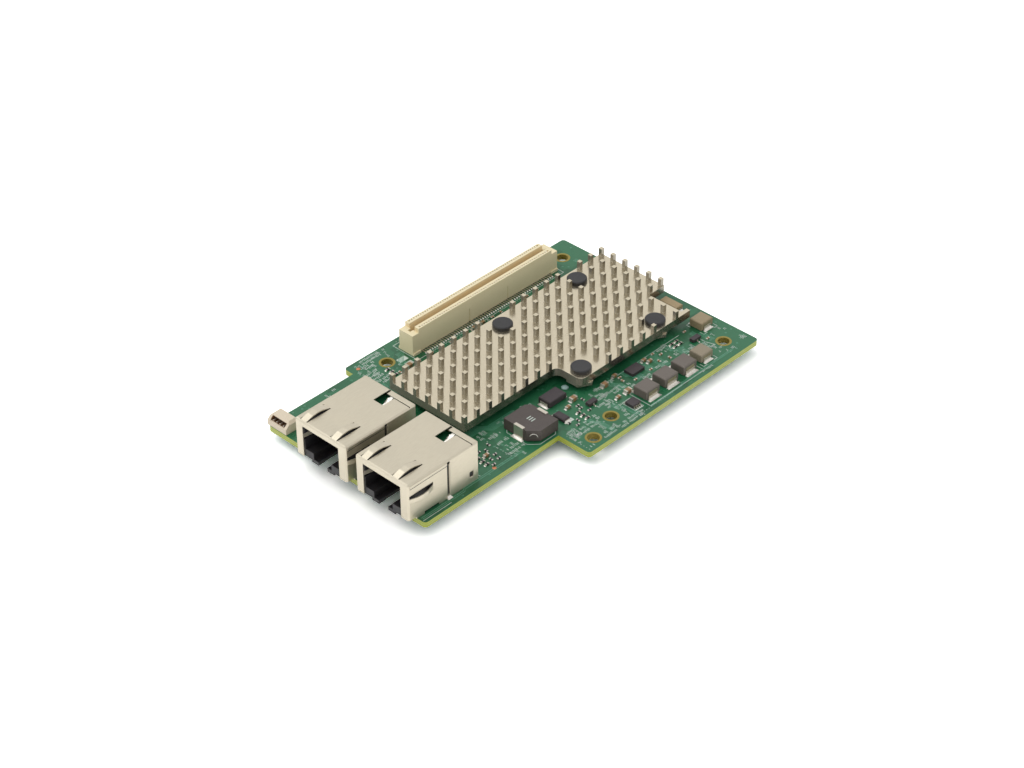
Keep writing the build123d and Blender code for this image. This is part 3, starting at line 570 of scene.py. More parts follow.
def haze_group() -> bpy.types.NodeTree:
    """Build the group for the uneven haze that handling and dust leave, at the scale of a finger.

    Returns:
        The group.
    """
    sheet, given, result = new_group(
        "handling_haze",
        {"Vector": ("NodeSocketVector", 0.0), "Scale": ("NodeSocketFloat", 90.0)},
        {"Mask": "NodeSocketFloat"},
    )
    broad = sheet.add(
        "ShaderNodeTexNoise",
        {
            "Vector": given["Vector"],
            "Scale": given["Scale"],
            "Detail": 5.0,
            "Roughness": 0.65,
            "Distortion": 0.6,
        },
    )
    clean, hazy = 0.3, 0.72
    sheet.tree.links.new(sheet.between(broad.outputs["Fac"], clean, hazy), result["Mask"])
    return sheet.tree


class SharedGroups:
    """The node groups that the finishes share, each built once."""

    def __init__(self) -> None:
        """Build the three groups."""
        self.edges = edge_group()
        self.grain = grain_group()
        self.haze = haze_group()


@dataclass(frozen=True)
class Finish:
    """A surface's finish: two colours that its grain mixes, gloss, grain, and edges lightened partly for wear
    and partly as a painted highlight.
    """

    name: str
    colour: Colour
    second: Colour
    # The edge colour is lighter than the rest: partly wear, partly a painted highlight along the edges.
    edge: Colour
    roughness: float
    roughness_spread: float = 0.12
    metallic: float = 0.0
    grain: Grain = Grain.EVEN
    grain_mm: float = 0.25
    grain_bite: float = 0.3
    bump_mm: float = 0.01
    edge_mm: float = 0.06
    edge_wear_and_highlight: float = 0.5
    specular: float = 0.5
    coat: float = 0.0
    coat_roughness: float = 0.18

    def start(self) -> tuple[bpy.types.Material, NodeSheet, bpy.types.Node]:
        """Make the material with its shader and nothing else.

        Returns:
            The material, its sheet and its shader.
        """
        material = bpy.data.materials.new(self.name)
        material.use_nodes = True
        material.node_tree.nodes.clear()
        sheet = NodeSheet(material.node_tree)
        shader = sheet.add("ShaderNodeBsdfPrincipled")
        shader.inputs["Specular IOR Level"].default_value = self.specular
        shader.inputs["Coat Weight"].default_value = self.coat
        shader.inputs["Coat Roughness"].default_value = self.coat_roughness
        sheet.add("ShaderNodeOutputMaterial", {"Surface": shader.outputs[0]})
        return material, sheet, shader

    def surface(self, sheet: NodeSheet, shared: SharedGroups) -> dict[str, bpy.types.NodeSocket]:
        """Add the grain, haze and edges of the finish.

        Args:
            sheet: The material's sheet.
            shared: The shared node groups.

        Returns:
            Sockets for the place, grain, height, haze, edge mask and rounded normal.
        """
        place = sheet.add("ShaderNodeTexCoord").outputs["Object"]
        stretched = sheet.add("ShaderNodeMapping", {"Vector": place, "Scale": self.grain.value})
        grain = sheet.add("ShaderNodeGroup", node_tree=shared.grain)
        sheet.tree.links.new(stretched.outputs[0], grain.inputs["Vector"])
        grain.inputs["Scale"].default_value = 1 / (self.grain_mm * MM)
        grain.inputs["Bite"].default_value = self.grain_bite
        haze = sheet.add("ShaderNodeGroup", {"Vector": place}, node_tree=shared.haze)
        edges = sheet.add("ShaderNodeGroup", {"Radius": self.edge_mm * MM}, node_tree=shared.edges)
        return {
            "place": place,
            "grain": grain.outputs["Mask"],
            "height": grain.outputs["Height"],
            "haze": haze.outputs["Mask"],
            "edge": edges.outputs["Mask"],
            "normal": edges.outputs["Normal"],
        }

    def dress(self, sheet: NodeSheet, shader: bpy.types.Node, parts: dict, base: object) -> None:
        """Wire a base colour, the roughness and the bump to the shader.

        Args:
            sheet: The material's sheet.
            shader: The material's shader.
            parts: The sockets that surface() gives.
            base: The base colour before its edges are lightened for wear and a painted highlight.
        """
        link = sheet.tree.links.new
        # Edges are lightened towards the edge colour: partly wear, partly a painted highlight.
        worn_and_lit_edges = sheet.math("MULTIPLY", parts["edge"], self.edge_wear_and_highlight)
        link(sheet.blend(worn_and_lit_edges, base, linear(self.edge)), shader.inputs["Base Color"])
        low = max(self.roughness - self.roughness_spread, SMOOTHEST)
        high = min(self.roughness + self.roughness_spread, 1.0)
        link(sheet.between(parts["haze"], 0.0, 1.0, low, high), shader.inputs["Roughness"])
        bump = sheet.add(
            "ShaderNodeBump",
            {
                "Height": parts["height"],
                "Normal": parts["normal"],
                "Distance": self.bump_mm * MM,
                "Strength": 1.0,
            },
        )
        link(bump.outputs[0], shader.inputs["Normal"])
        shader.inputs["Metallic"].default_value = self.metallic

    def make(self, shared: SharedGroups) -> bpy.types.Material:
        """Build the material.

        Args:
            shared: The shared node groups.

        Returns:
            The material.
        """
        material, sheet, shader = self.start()
        parts = self.surface(sheet, shared)
        toned = sheet.blend(parts["grain"], linear(self.colour), linear(self.second))
        self.dress(sheet, shader, parts, toned)
        return material


@dataclass(frozen=True)
class BoardFinish(Finish):
    """Green solder mask over copper and laminate, with the bare laminate on the board's cut edges."""

    pour: Colour = (48, 118, 80)
    laminate: Colour = (188, 194, 82)
    laminate_dark: Colour = (142, 158, 60)
    layer_mm: float = 0.27
    layer_waver: float = 0.6
    layer_detail: float = 400.0
    area_scale: float = 150.0
    area_randomness: float = 0.9
    area_limits: tuple[float, float] = (0.42, 0.46)
    area_share: float = 0.45
    haze_share: float = 0.25

    def make(self, shared: SharedGroups) -> bpy.types.Material:
        """Build the mask, the copper areas that show through it and the layered edge.

        Args:
            shared: The shared node groups.

        Returns:
            The material.
        """
        material, sheet, shader = self.start()
        parts = self.surface(sheet, shared)
        areas = sheet.add(
            "ShaderNodeTexVoronoi",
            {"Vector": parts["place"], "Scale": self.area_scale, "Randomness": self.area_randomness},
            distance="CHEBYCHEV",
        )
        plane_tone = sheet.between(areas.outputs["Color"], *self.area_limits)
        green = sheet.blend(parts["grain"], linear(self.colour), linear(self.second))
        toned = sheet.blend(sheet.math("MULTIPLY", plane_tone, self.area_share), green, linear(self.pour))
        haze = sheet.math("MULTIPLY", parts["haze"], self.haze_share)
        hazed = sheet.blend(haze, toned, linear(self.pour))
        layers = sheet.add(
            "ShaderNodeTexWave",
            {
                "Vector": parts["place"],
                "Scale": 1 / (self.layer_mm * MM) / WAVE_TURN,
                "Distortion": self.layer_waver,
                "Detail Scale": self.layer_detail,
            },
            bands_direction="Z",
        )
        rim = sheet.blend(layers.outputs["Fac"], linear(self.laminate), linear(self.laminate_dark))
        flat = sheet.between(sheet.math("ABSOLUTE", sheet.facing().outputs["Z"]), LEANING, LEVEL)
        self.dress(sheet, shader, parts, sheet.blend(flat, rim, hazed))
        return material


@dataclass(frozen=True)
class ShadedUprightFinish(Finish):
    """A polished metal whose upright faces take a darker colour, painted shade on the sides, and whose faces
    towards the front are less metallic so that they show lighter, painted light on the front.
    """

    # Colours of the upright faces, darker than the level ones: painted shade on the sides.
    upright_shade: Colour = (164, 158, 144)
    upright_shade_dark: Colour = (134, 128, 115)
    # Metallic of the faces towards the front, lower so that they show lighter: painted light.
    front_lit_metallic: float = 0.35

    def make(self, shared: SharedGroups) -> bpy.types.Material:
        """Build the polished metal and mix in the upright faces' painted shade and the front faces' painted
        light by the way they face.

        Args:
            shared: The shared node groups.

        Returns:
            The material.
        """
        material, sheet, shader = self.start()
        parts = self.surface(sheet, shared)
        level_tone = sheet.blend(parts["grain"], linear(self.colour), linear(self.second))
        # Upright faces take the darker colour: painted shade.
        shaded_upright_tone = sheet.blend(parts["grain"], linear(self.upright_shade), linear(self.upright_shade_dark))
        facing = sheet.facing()
        level = sheet.between(sheet.math("ABSOLUTE", facing.outputs["Z"]), LEANING, LEVEL)
        self.dress(sheet, shader, parts, sheet.blend(level, shaded_upright_tone, level_tone))
        # Faces towards the front get less metallic and show lighter: painted light.
        front_lit_shine = sheet.between(facing.outputs["Y"], -LEANING, -LEVEL, self.metallic, self.front_lit_metallic)
        sheet.tree.links.new(front_lit_shine, shader.inputs["Metallic"])
        return material


@dataclass(frozen=True)
class ShadedCavityFinish(Finish):
    """A moulding whose cavity, inside a box of the frame in millimetres, takes a darker colour than its
    outside: painted shade in the cavity.
    """

    # The cavity's colour is painted shade.
    inside: Colour = (120, 90, 60)
    low: Triple = (0.0, 0.0, 0.0)
    high: Triple = (1.0, 1.0, 1.0)
    fade_mm: float = 0.05

    def make(self, shared: SharedGroups) -> bpy.types.Material:
        """Build the outside and mix in the cavity's colour, a painted shade, within its box.

        Args:
            shared: The shared node groups.

        Returns:
            The material.
        """
        material, sheet, shader = self.start()
        parts = self.surface(sheet, shared)
        toned = sheet.blend(parts["grain"], linear(self.colour), linear(self.second))
        place = sheet.add("ShaderNodeSeparateXYZ", {0: parts["place"]})
        fade = self.fade_mm * MM
        # Mask of the cavity's box, where the painted shade goes.
        inside: object = 1.0
        for axis, low, high in zip("XYZ", self.low, self.high):
            above = sheet.between(place.outputs[axis], low * MM - fade, low * MM + fade)
            below = sheet.between(place.outputs[axis], high * MM + fade, high * MM - fade)
            inside = sheet.math("MULTIPLY", inside, sheet.math("MULTIPLY", above, below))
        self.dress(sheet, shader, parts, sheet.blend(inside, toned, linear(self.inside)))
        return material


# The third colour of each finish is its lighter edge colour: partly wear, partly a painted highlight.
FINISHES: dict[str, Finish] = {
    "board_laminate": BoardFinish(
        "green_solder_mask", (20, 80, 48), (30, 94, 60), (112, 146, 74), 0.34,
        grain_mm=0.9, grain_bite=0.1, bump_mm=0.012, edge_wear_and_highlight=0.5, specular=0.4, coat=0.08,
    ),
    "shell_nickel": Finish(
        "satin_nickel_sheet", (206, 198, 178), (197, 188, 168), (230, 224, 208), 0.38,
        metallic=0.75, grain=Grain.ALONG_Y, grain_mm=0.12, grain_bite=0.1, bump_mm=0.004,
        edge_mm=0.25, edge_wear_and_highlight=0.3,
    ),
    # Polished level faces, upright faces with painted shade and front faces with painted light.
    "sink_aluminium": ShadedUprightFinish(
        "champagne_aluminium", (216, 206, 183), (204, 193, 169), (236, 228, 208), 0.24,
        roughness_spread=0.06, metallic=0.92, grain_mm=0.14, grain_bite=0.4, bump_mm=0.004, edge_mm=0.08,
    ),
    "thermal_pad": Finish(
        "grey_thermal_pad", (148, 148, 156), (128, 128, 138), (160, 160, 166), 0.8, grain_bite=0.6,
    ),
    "chip_epoxy": Finish(
        "moulded_epoxy", (66, 58, 60), (54, 47, 50), (104, 96, 94), 0.55,
        grain_mm=0.1, grain_bite=0.5, bump_mm=0.006, edge_mm=0.05,
    ),
    "push_pin_plastic": Finish(
        "black_nylon", (42, 41, 42), (35, 34, 36), (86, 85, 85), 0.48,
        grain_mm=0.12, grain_bite=0.5, bump_mm=0.006, edge_mm=0.08,
    ),
    "connector_plastic": ShadedCavityFinish(
        "ivory_polymer", (240, 228, 190), (232, 218, 178), (252, 242, 218), 0.5,
        grain_mm=0.16, grain_bite=0.3, bump_mm=0.006, edge_mm=0.07, edge_wear_and_highlight=0.6,
        # The cavity colour, slightly darker and yellower: painted shade in the slots.
        inside=(234, 214, 172), low=(-29.6, -7.3, 4.0), high=(-25.5, 42.1, 11.3),
    ),
    "header_plastic": ShadedCavityFinish(
        "off_white_polymer", (226, 213, 191), (214, 200, 176), (246, 238, 224), 0.5,
        grain_mm=0.16, grain_bite=0.3, bump_mm=0.006,
        # The cavity colour, dark brown: painted shade in the header's opening.
        inside=(128, 92, 58), low=(-30.1, -53.1, 4.8), high=(-25.0, -49.9, 6.65),
    ),
    "tin_plate": Finish(
        "bright_tin", (214, 208, 196), (198, 190, 176), (238, 234, 226), 0.32,
        metallic=0.9, grain_mm=0.1, grain_bite=0.3, bump_mm=0.005, edge_mm=0.04,
    ),
    "contact_gold": Finish(
        "gold_flash", (214, 172, 96), (198, 152, 78), (236, 206, 140), 0.3,
        metallic=1.0, grain_mm=0.1, bump_mm=0.003, edge_mm=0.04,
    ),
    "port_plastic": Finish(
        "black_polymer", (36, 34, 36), (28, 27, 29), (70, 68, 68), 0.5,
        grain_mm=0.14, grain_bite=0.4, bump_mm=0.008,
    ),
    "bulk_core": Finish(
        "pressed_iron_powder", (84, 75, 70), (70, 62, 59), (126, 116, 108), 0.52,
        grain_mm=0.12, grain_bite=0.6, bump_mm=0.012, edge_mm=0.1,
    ),
    "block_core": Finish(
        "grey_powder_block", (112, 104, 96), (98, 90, 83), (168, 158, 142), 0.5,
        grain_mm=0.12, grain_bite=0.6, bump_mm=0.012, edge_mm=0.1, edge_wear_and_highlight=0.7,
    ),
    "pale_core": Finish(
        "pale_powder_block", (150, 139, 118), (136, 125, 105), (190, 178, 154), 0.5,
        grain_mm=0.12, grain_bite=0.6, bump_mm=0.012, edge_mm=0.1,
    ),
    "tan_core": Finish(
        "tan_powder_block", (160, 144, 114), (144, 128, 99), (196, 180, 148), 0.5,
        grain_mm=0.12, grain_bite=0.6, bump_mm=0.012, edge_mm=0.1,
    ),
    "tantalum_epoxy": Finish(
        "tan_epoxy", (168, 148, 112), (152, 132, 97), (202, 184, 148), 0.5,
        grain_mm=0.1, grain_bite=0.4, bump_mm=0.006,
    ),
    "capacitor_ceramic": Finish(
        "brown_ceramic", (160, 126, 88), (142, 108, 73), (186, 154, 116), 0.42,
        grain_mm=0.08, grain_bite=0.4, bump_mm=0.004,
    ),
    "resistor_film": Finish(
        "black_glaze", (46, 43, 45), (38, 36, 38), (84, 80, 80), 0.3, grain_mm=0.08, bump_mm=0.003,
    ),
}

# Here too the third colour is the lighter edge colour: partly wear, partly a painted highlight.
SOLDER = Finish(
    "bright_solder", (234, 230, 222), (212, 207, 197), (244, 242, 236), 0.26,
    metallic=0.6, grain_mm=0.22, grain_bite=0.5, bump_mm=0.02, edge_mm=0.05,
)
PLATE = Finish(
    "dull_terminal", (158, 148, 120), (140, 130, 102), (190, 180, 152), 0.42,
    metallic=0.5, grain_mm=0.16, grain_bite=0.5, bump_mm=0.006, edge_mm=0.05,
)
INK = Finish(
    "white_print", (214, 224, 214), (190, 204, 194), (224, 230, 222), 0.6,
    grain_mm=0.12, grain_bite=0.6, bump_mm=0.004, edge_wear_and_highlight=0.2,
)
TRACE = Finish(
    "mask_over_copper", (86, 152, 122), (74, 138, 108), (112, 172, 142), 0.32,
    grain_mm=0.5, bump_mm=0.004, coat=0.15,
)
# The ribs are the housing's own plastic in a brighter cream than the housing: painted light on the ribs.
LIT_RIB = Finish(
    "lit_cream_ribs", (255, 248, 226), (250, 240, 212), (255, 252, 240), 0.5, grain_mm=0.16, bump_mm=0.004,
)
RING = Finish(
    "gold_ring", (158, 142, 66), (140, 124, 52), (180, 166, 92), 0.4,
    metallic=0.4, grain_mm=0.2, bump_mm=0.004,
)
SEALANT = Finish(
    "pale_sealant", (150, 178, 172), (136, 164, 160), (176, 198, 192), 0.4, grain_mm=0.4, bump_mm=0.006,
)
COPPER = Finish(
    "bare_copper", (206, 140, 104), (188, 120, 86), (226, 168, 134), 0.34,
    metallic=0.8, grain_mm=0.2, bump_mm=0.004,
)


class Paintshop:
    """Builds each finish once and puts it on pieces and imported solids."""

    def __init__(self) -> None:
        """Build the shared node groups."""
        self.shared = SharedGroups()
        self.made: dict[str, bpy.types.Material] = {}

    def material(self, finish: Finish) -> bpy.types.Material:
        """Give a finish's material, which is built the first time.

        Args:
            finish: The finish.

        Returns:
            Its material.
        """
        if finish.name not in self.made:
            self.made[finish.name] = finish.make(self.shared)
        return self.made[finish.name]

    def paint(self, piece: bpy.types.Object, finish: Finish) -> None:
        """Put a finish on all of a piece."""
        piece.data.materials.clear()
        piece.data.materials.append(self.material(finish))

    def deliver(self, piece: bpy.types.Object, finish: Finish) -> None:
        """Finish a new piece: shade and paint it, and let it ride on the card.

        Args:
            piece: The modelled piece.
            finish: Its finish.
        """
        deselect_all()
        piece.select_set(True)
        bpy.context.view_layer.objects.active = piece
        bpy.ops.object.transform_apply(location=True, rotation=True, scale=True)
        bpy.ops.object.shade_smooth_by_angle(angle=SMOOTH_ANGLE)
        self.paint(piece, finish)
        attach(piece, BODY)
        LOG.info("%s: %d faces", piece.name, len(piece.data.polygons))

    def paint_solids(self) -> None:
        """Put the record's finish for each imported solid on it."""
        for part in frame["record"]["subparts"]:
            self.paint(frame["nodes"][part["node"]], FINISHES[part["material_slot"]])
        LOG.info("packed solids: %d", len(frame["nodes"]))


# Sub-assemblies


@dataclass
class BoardSurvey:
    """Knows where the board is and which of its places are free."""

    margin: float = 0.5 * MM
    edge: float = 0.8 * MM
    hole_room: float = 2.5 * MM
    # Inner corners of the steps at both sides of the board's front
    right_step: Point = (23.9 * MM, -8.15 * MM)
    left_step: Point = (-30.7 * MM, -25.15 * MM)
    # Nodes that leave the board's top free, or that print may come near to
    passed_over: tuple[str, ...] = (
        "circuit_board", "heat_sink", "thermal_pad", "push_pins", "mezzanine_contacts",
    )
    top: float = field(init=False)
    under: float = field(init=False)
    low: Vector = field(init=False)
    high: Vector = field(init=False)
    holes: list[Vector] = field(init=False)
    taken: list[Box] = field(init=False)

    def __post_init__(self) -> None:
        """Read the board's box, its mounting holes and what stands on it."""
        self.low, self.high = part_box("circuit_board")
        self.top, self.under = self.high.z, self.low.z
        mounts = frame["record"]["mounts"]
        self.holes = [Vector(mount["pos_m"]) for mount in mounts if mount["kind"] == "bore"]
        standing = [node for node in frame["nodes"] if node not in self.passed_over]
        self.taken = [box for node in standing for box in islands(node)]

    def on_board(self, x: float, y: float) -> bool:
        """Say whether a point is on the board, clear of its edges and steps.

        Args:
            x: Place in metres.
            y: Place in metres.

        Returns:
            True where the board goes on all round the point.
        """
        edge = self.edge
        across = self.low.x + edge < x < self.high.x - edge
        along = self.low.y + edge < y < self.high.y - edge
        in_right_step = x > self.right_step[0] - edge and y < self.right_step[1] + edge
        in_left_step = x < self.left_step[0] + edge and y < self.left_step[1] + edge
        return across and along and not in_right_step and not in_left_step

    def free(self, x: float, y: float, room: float) -> bool:
        """Say whether a spot of the board's top is free.

        Args:
            x: Place in metres.
            y: Place in metres.
            room: Half the width that is needed, in metres.

        Returns:
            True where nothing stands within that room.
        """
        if not self.on_board(x, y):
            return False
        if any(math.hypot(hole.x - x, hole.y - y) < self.hole_room + room for hole in self.holes):
            return False
        reach = room + self.margin
        for low, high in self.taken:
            if low.x - reach < x < high.x + reach and low.y - reach < y < high.y + reach:
                return False
        return True


@dataclass
class PlatedHoles:
    """Plated rings and linings of the mounting holes, and the bare alignment dots."""

    survey: BoardSurvey
    ring_radius: float = 2.12 * MM
    hole_radius: float = 1.58 * MM
    plating: float = 0.035 * MM
    corners: int = 40
    dot_places: tuple[Point, ...] = ((21.3, -27.9), (-31.3, -22.75))
    dot_radius: float = 0.55 * MM
    dot_height: float = 0.03 * MM
    dot_bevel: float = 0.01 * MM
    dot_corners: int = 24

    def eyelet(self) -> bpy.types.Object:
        """Model one hole's lining with a ring at each end, from the origin down.

        Returns:
            The eyelet.
        """
        thickness = self.survey.top - self.survey.under
        deselect_all()
        bpy.ops.mesh.primitive_circle_add(vertices=self.corners, radius=self.ring_radius, fill_type="NGON")
        piece = begin("plated_hole")
        bpy.ops.object.mode_set(mode="EDIT")
        bpy.ops.mesh.select_all(action="SELECT")
        bpy.ops.mesh.inset(thickness=self.ring_radius - self.hole_radius)
        bpy.ops.mesh.delete(type="FACE")
        limit = (self.ring_radius + self.hole_radius) / 2
        pick(piece, Pick.EDGES, lambda a, b: max(a.length, b.length) < limit)
        bpy.ops.mesh.extrude_region_move(TRANSFORM_OT_translate={"value": (0, 0, -thickness)})
        bpy.ops.mesh.extrude_region_move(TRANSFORM_OT_translate={"value": (0, 0, 0)})
        grown = self.ring_radius / self.hole_radius
        bpy.ops.transform.resize(value=(grown, grown, 1), center_override=(0, 0, -thickness))
        bpy.ops.mesh.select_all(action="SELECT")
        bpy.ops.mesh.normals_make_consistent(inside=False)
        bpy.ops.object.mode_set(mode="OBJECT")
        top_face = next(face for face in piece.data.polygons if abs(face.center.z) < HAIR)
        if top_face.normal.z < 0:
            bpy.ops.object.mode_set(mode="EDIT")
            bpy.ops.mesh.select_all(action="SELECT")
            bpy.ops.mesh.flip_normals()
            bpy.ops.object.mode_set(mode="OBJECT")
        apply_modifier(piece, "SOLIDIFY", thickness=self.plating, offset=1.0)
        return piece

    def build(self, shop: Paintshop) -> None:
        """Model the plated holes and the copper dots.

        Args:
            shop: The paintshop.
        """
        places = [at(hole.x, hole.y, self.survey.top) for hole in self.survey.holes]
        shop.deliver(copies(self.eyelet(), "plated_holes", places), RING)
        dots = disc("alignment_dot", self.dot_radius, self.dot_height, self.dot_corners, self.dot_bevel)
        spots = [at(x * MM, y * MM, self.survey.top) for x, y in self.dot_places]
        shop.deliver(copies(dots, "alignment_dots", spots), COPPER)


@dataclass(frozen=True)
class TraceRun:
    """A bundle of parallel traces, in millimetres, and its turn about its start in degrees."""

    start: Point
    moves: tuple[Point, ...]
    count: int
    pitch: float
    turn: float = 0.0


@dataclass
class Copperwork:
    """Traces and plated through-dots of the board, raised by their own thickness."""

    survey: BoardSurvey
    trace_width: float = 0.2 * MM
    copper: float = 0.02 * MM
    via_count: int = 260
    via_room: float = 0.3 * MM
    via_outer: float = 0.27 * MM
    via_inner: float = 0.13 * MM
    via_height: float = 0.025 * MM
    via_corners: int = 10
    seed: int = 7
    runs: tuple[TraceRun, ...] = (
        TraceRun((17.6, 15.2), ((2.2, 0), (1.2, 1.2), (3.0, 0)), 5, 0.42),
        TraceRun((17.6, 31.6), ((1.6, 0), (1.0, -1.0), (4.2, 0)), 6, 0.42),
        TraceRun((22.4, -53.0), ((14.0, 0), (0.6, 0.6), (20.0, 0)), 2, 0.5, 90.0),
        TraceRun((8.9, -25.5), ((6.0, 0), (2.0, -2.0), (9.0, 0)), 6, 0.42, 90.0),
        TraceRun((24.6, 1.0), ((2.0, 0), (1.2, 1.2), (4.6, 0)), 3, 0.45),
        TraceRun((25.0, 9.4), ((2.0, 0), (1.6, 1.6), (4.0, 0)), 4, 0.42),
        TraceRun((32.6, 16.0), ((12.0, 0), (0.5, 0.5), (20.0, 0)), 2, 0.4, 90.0),
        TraceRun((19.4, 46.0), ((1.5, 0), (1.5, 1.5), (3.2, 0)), 4, 0.42),
        TraceRun((-24.0, -4.0), ((2.4, 0), (1.4, 1.4), (2.6, 0)), 14, 0.8),
        TraceRun((-24.0, 20.0), ((2.0, 0), (1.0, 1.0), (3.0, 0)), 16, 0.8),
        TraceRun((-19.0, -50.0), ((12.0, 0), (1.5, 1.5), (14.0, 0)), 5, 0.42, 90.0),
        TraceRun((-29.0, -12.0), ((1.2, 0), (2.2, -2.2), (5.0, 0)), 5, 0.45),
        TraceRun((7.0, -31.0), ((1.4, 0), (0.8, 0.8), (2.0, 0)), 24, 0.9, 90.0),
        TraceRun((-25.0, 50.6), ((13.4, 0), (1.0, 1.0), (14.0, 0)), 3, 0.5),
        TraceRun((17.8, 21.0), ((2.0, 0), (1.0, 1.0), (2.5, 0)), 8, 0.36),
        TraceRun((17.8, 27.4), ((1.4, 0), (0.8, -0.8), (3.2, 0)), 7, 0.36),
        TraceRun((19.0, 37.0), ((2.0, 0), (1.2, 1.2), (2.4, 0)), 6, 0.4),
    )

    def bundle(self, name: str, run: TraceRun) -> bpy.types.Object:
        """Model a bundle of parallel traces.

        Args:
            name: The bundle's name.
            run: Its route, place and number of traces.

        Returns:
            The bundle.
        """
        steps = [(step[0] * MM, step[1] * MM) for step in run.moves]
        piece = ribbon(name, self.trace_width, self.copper, steps)
        apply_modifier(
            piece,
            "ARRAY",
            count=run.count,
            use_relative_offset=False,
            use_constant_offset=True,
            constant_offset_displace=(0, run.pitch * MM, 0),
        )
        piece.data.transform(at(run.start[0] * MM, run.start[1] * MM, self.survey.top, run.turn))
        return piece

    def traces(self, shop: Paintshop) -> None:
        """Model the routed bundles that show between the parts.

        Args:
            shop: The paintshop.
        """
        made = [self.bundle(f"trace_bundle_{number}", run) for number, run in enumerate(self.runs, start=1)]
        shop.deliver(joined(made, "copper_traces"), TRACE)

    def vias(self, shop: Paintshop) -> None:
        """Scatter plated dots over the free places of the top, with every second one on the underside too.

        Args:
            shop: The paintshop.
        """
        draw = random.Random(self.seed)
        spots = []
        while len(spots) < self.via_count:
            x = draw.uniform(self.survey.low.x, self.survey.high.x)
            y = draw.uniform(self.survey.low.y, self.survey.high.y)
            if self.survey.free(x, y, self.via_room):
                spots.append((x, y))
        above = [at(x, y, self.survey.top) for x, y in spots]
        below = [at(x, y, self.survey.under - self.via_height) for x, y in spots[::2]]
        dot = ring("plated_dot", self.via_outer, self.via_inner, self.via_height, self.via_corners)
        shop.deliver(copies(dot, "plated_dots", above + below), TRACE)

    def build(self, shop: Paintshop) -> None:
        """Model the traces and the plated dots."""
        self.traces(shop)
        self.vias(shop)


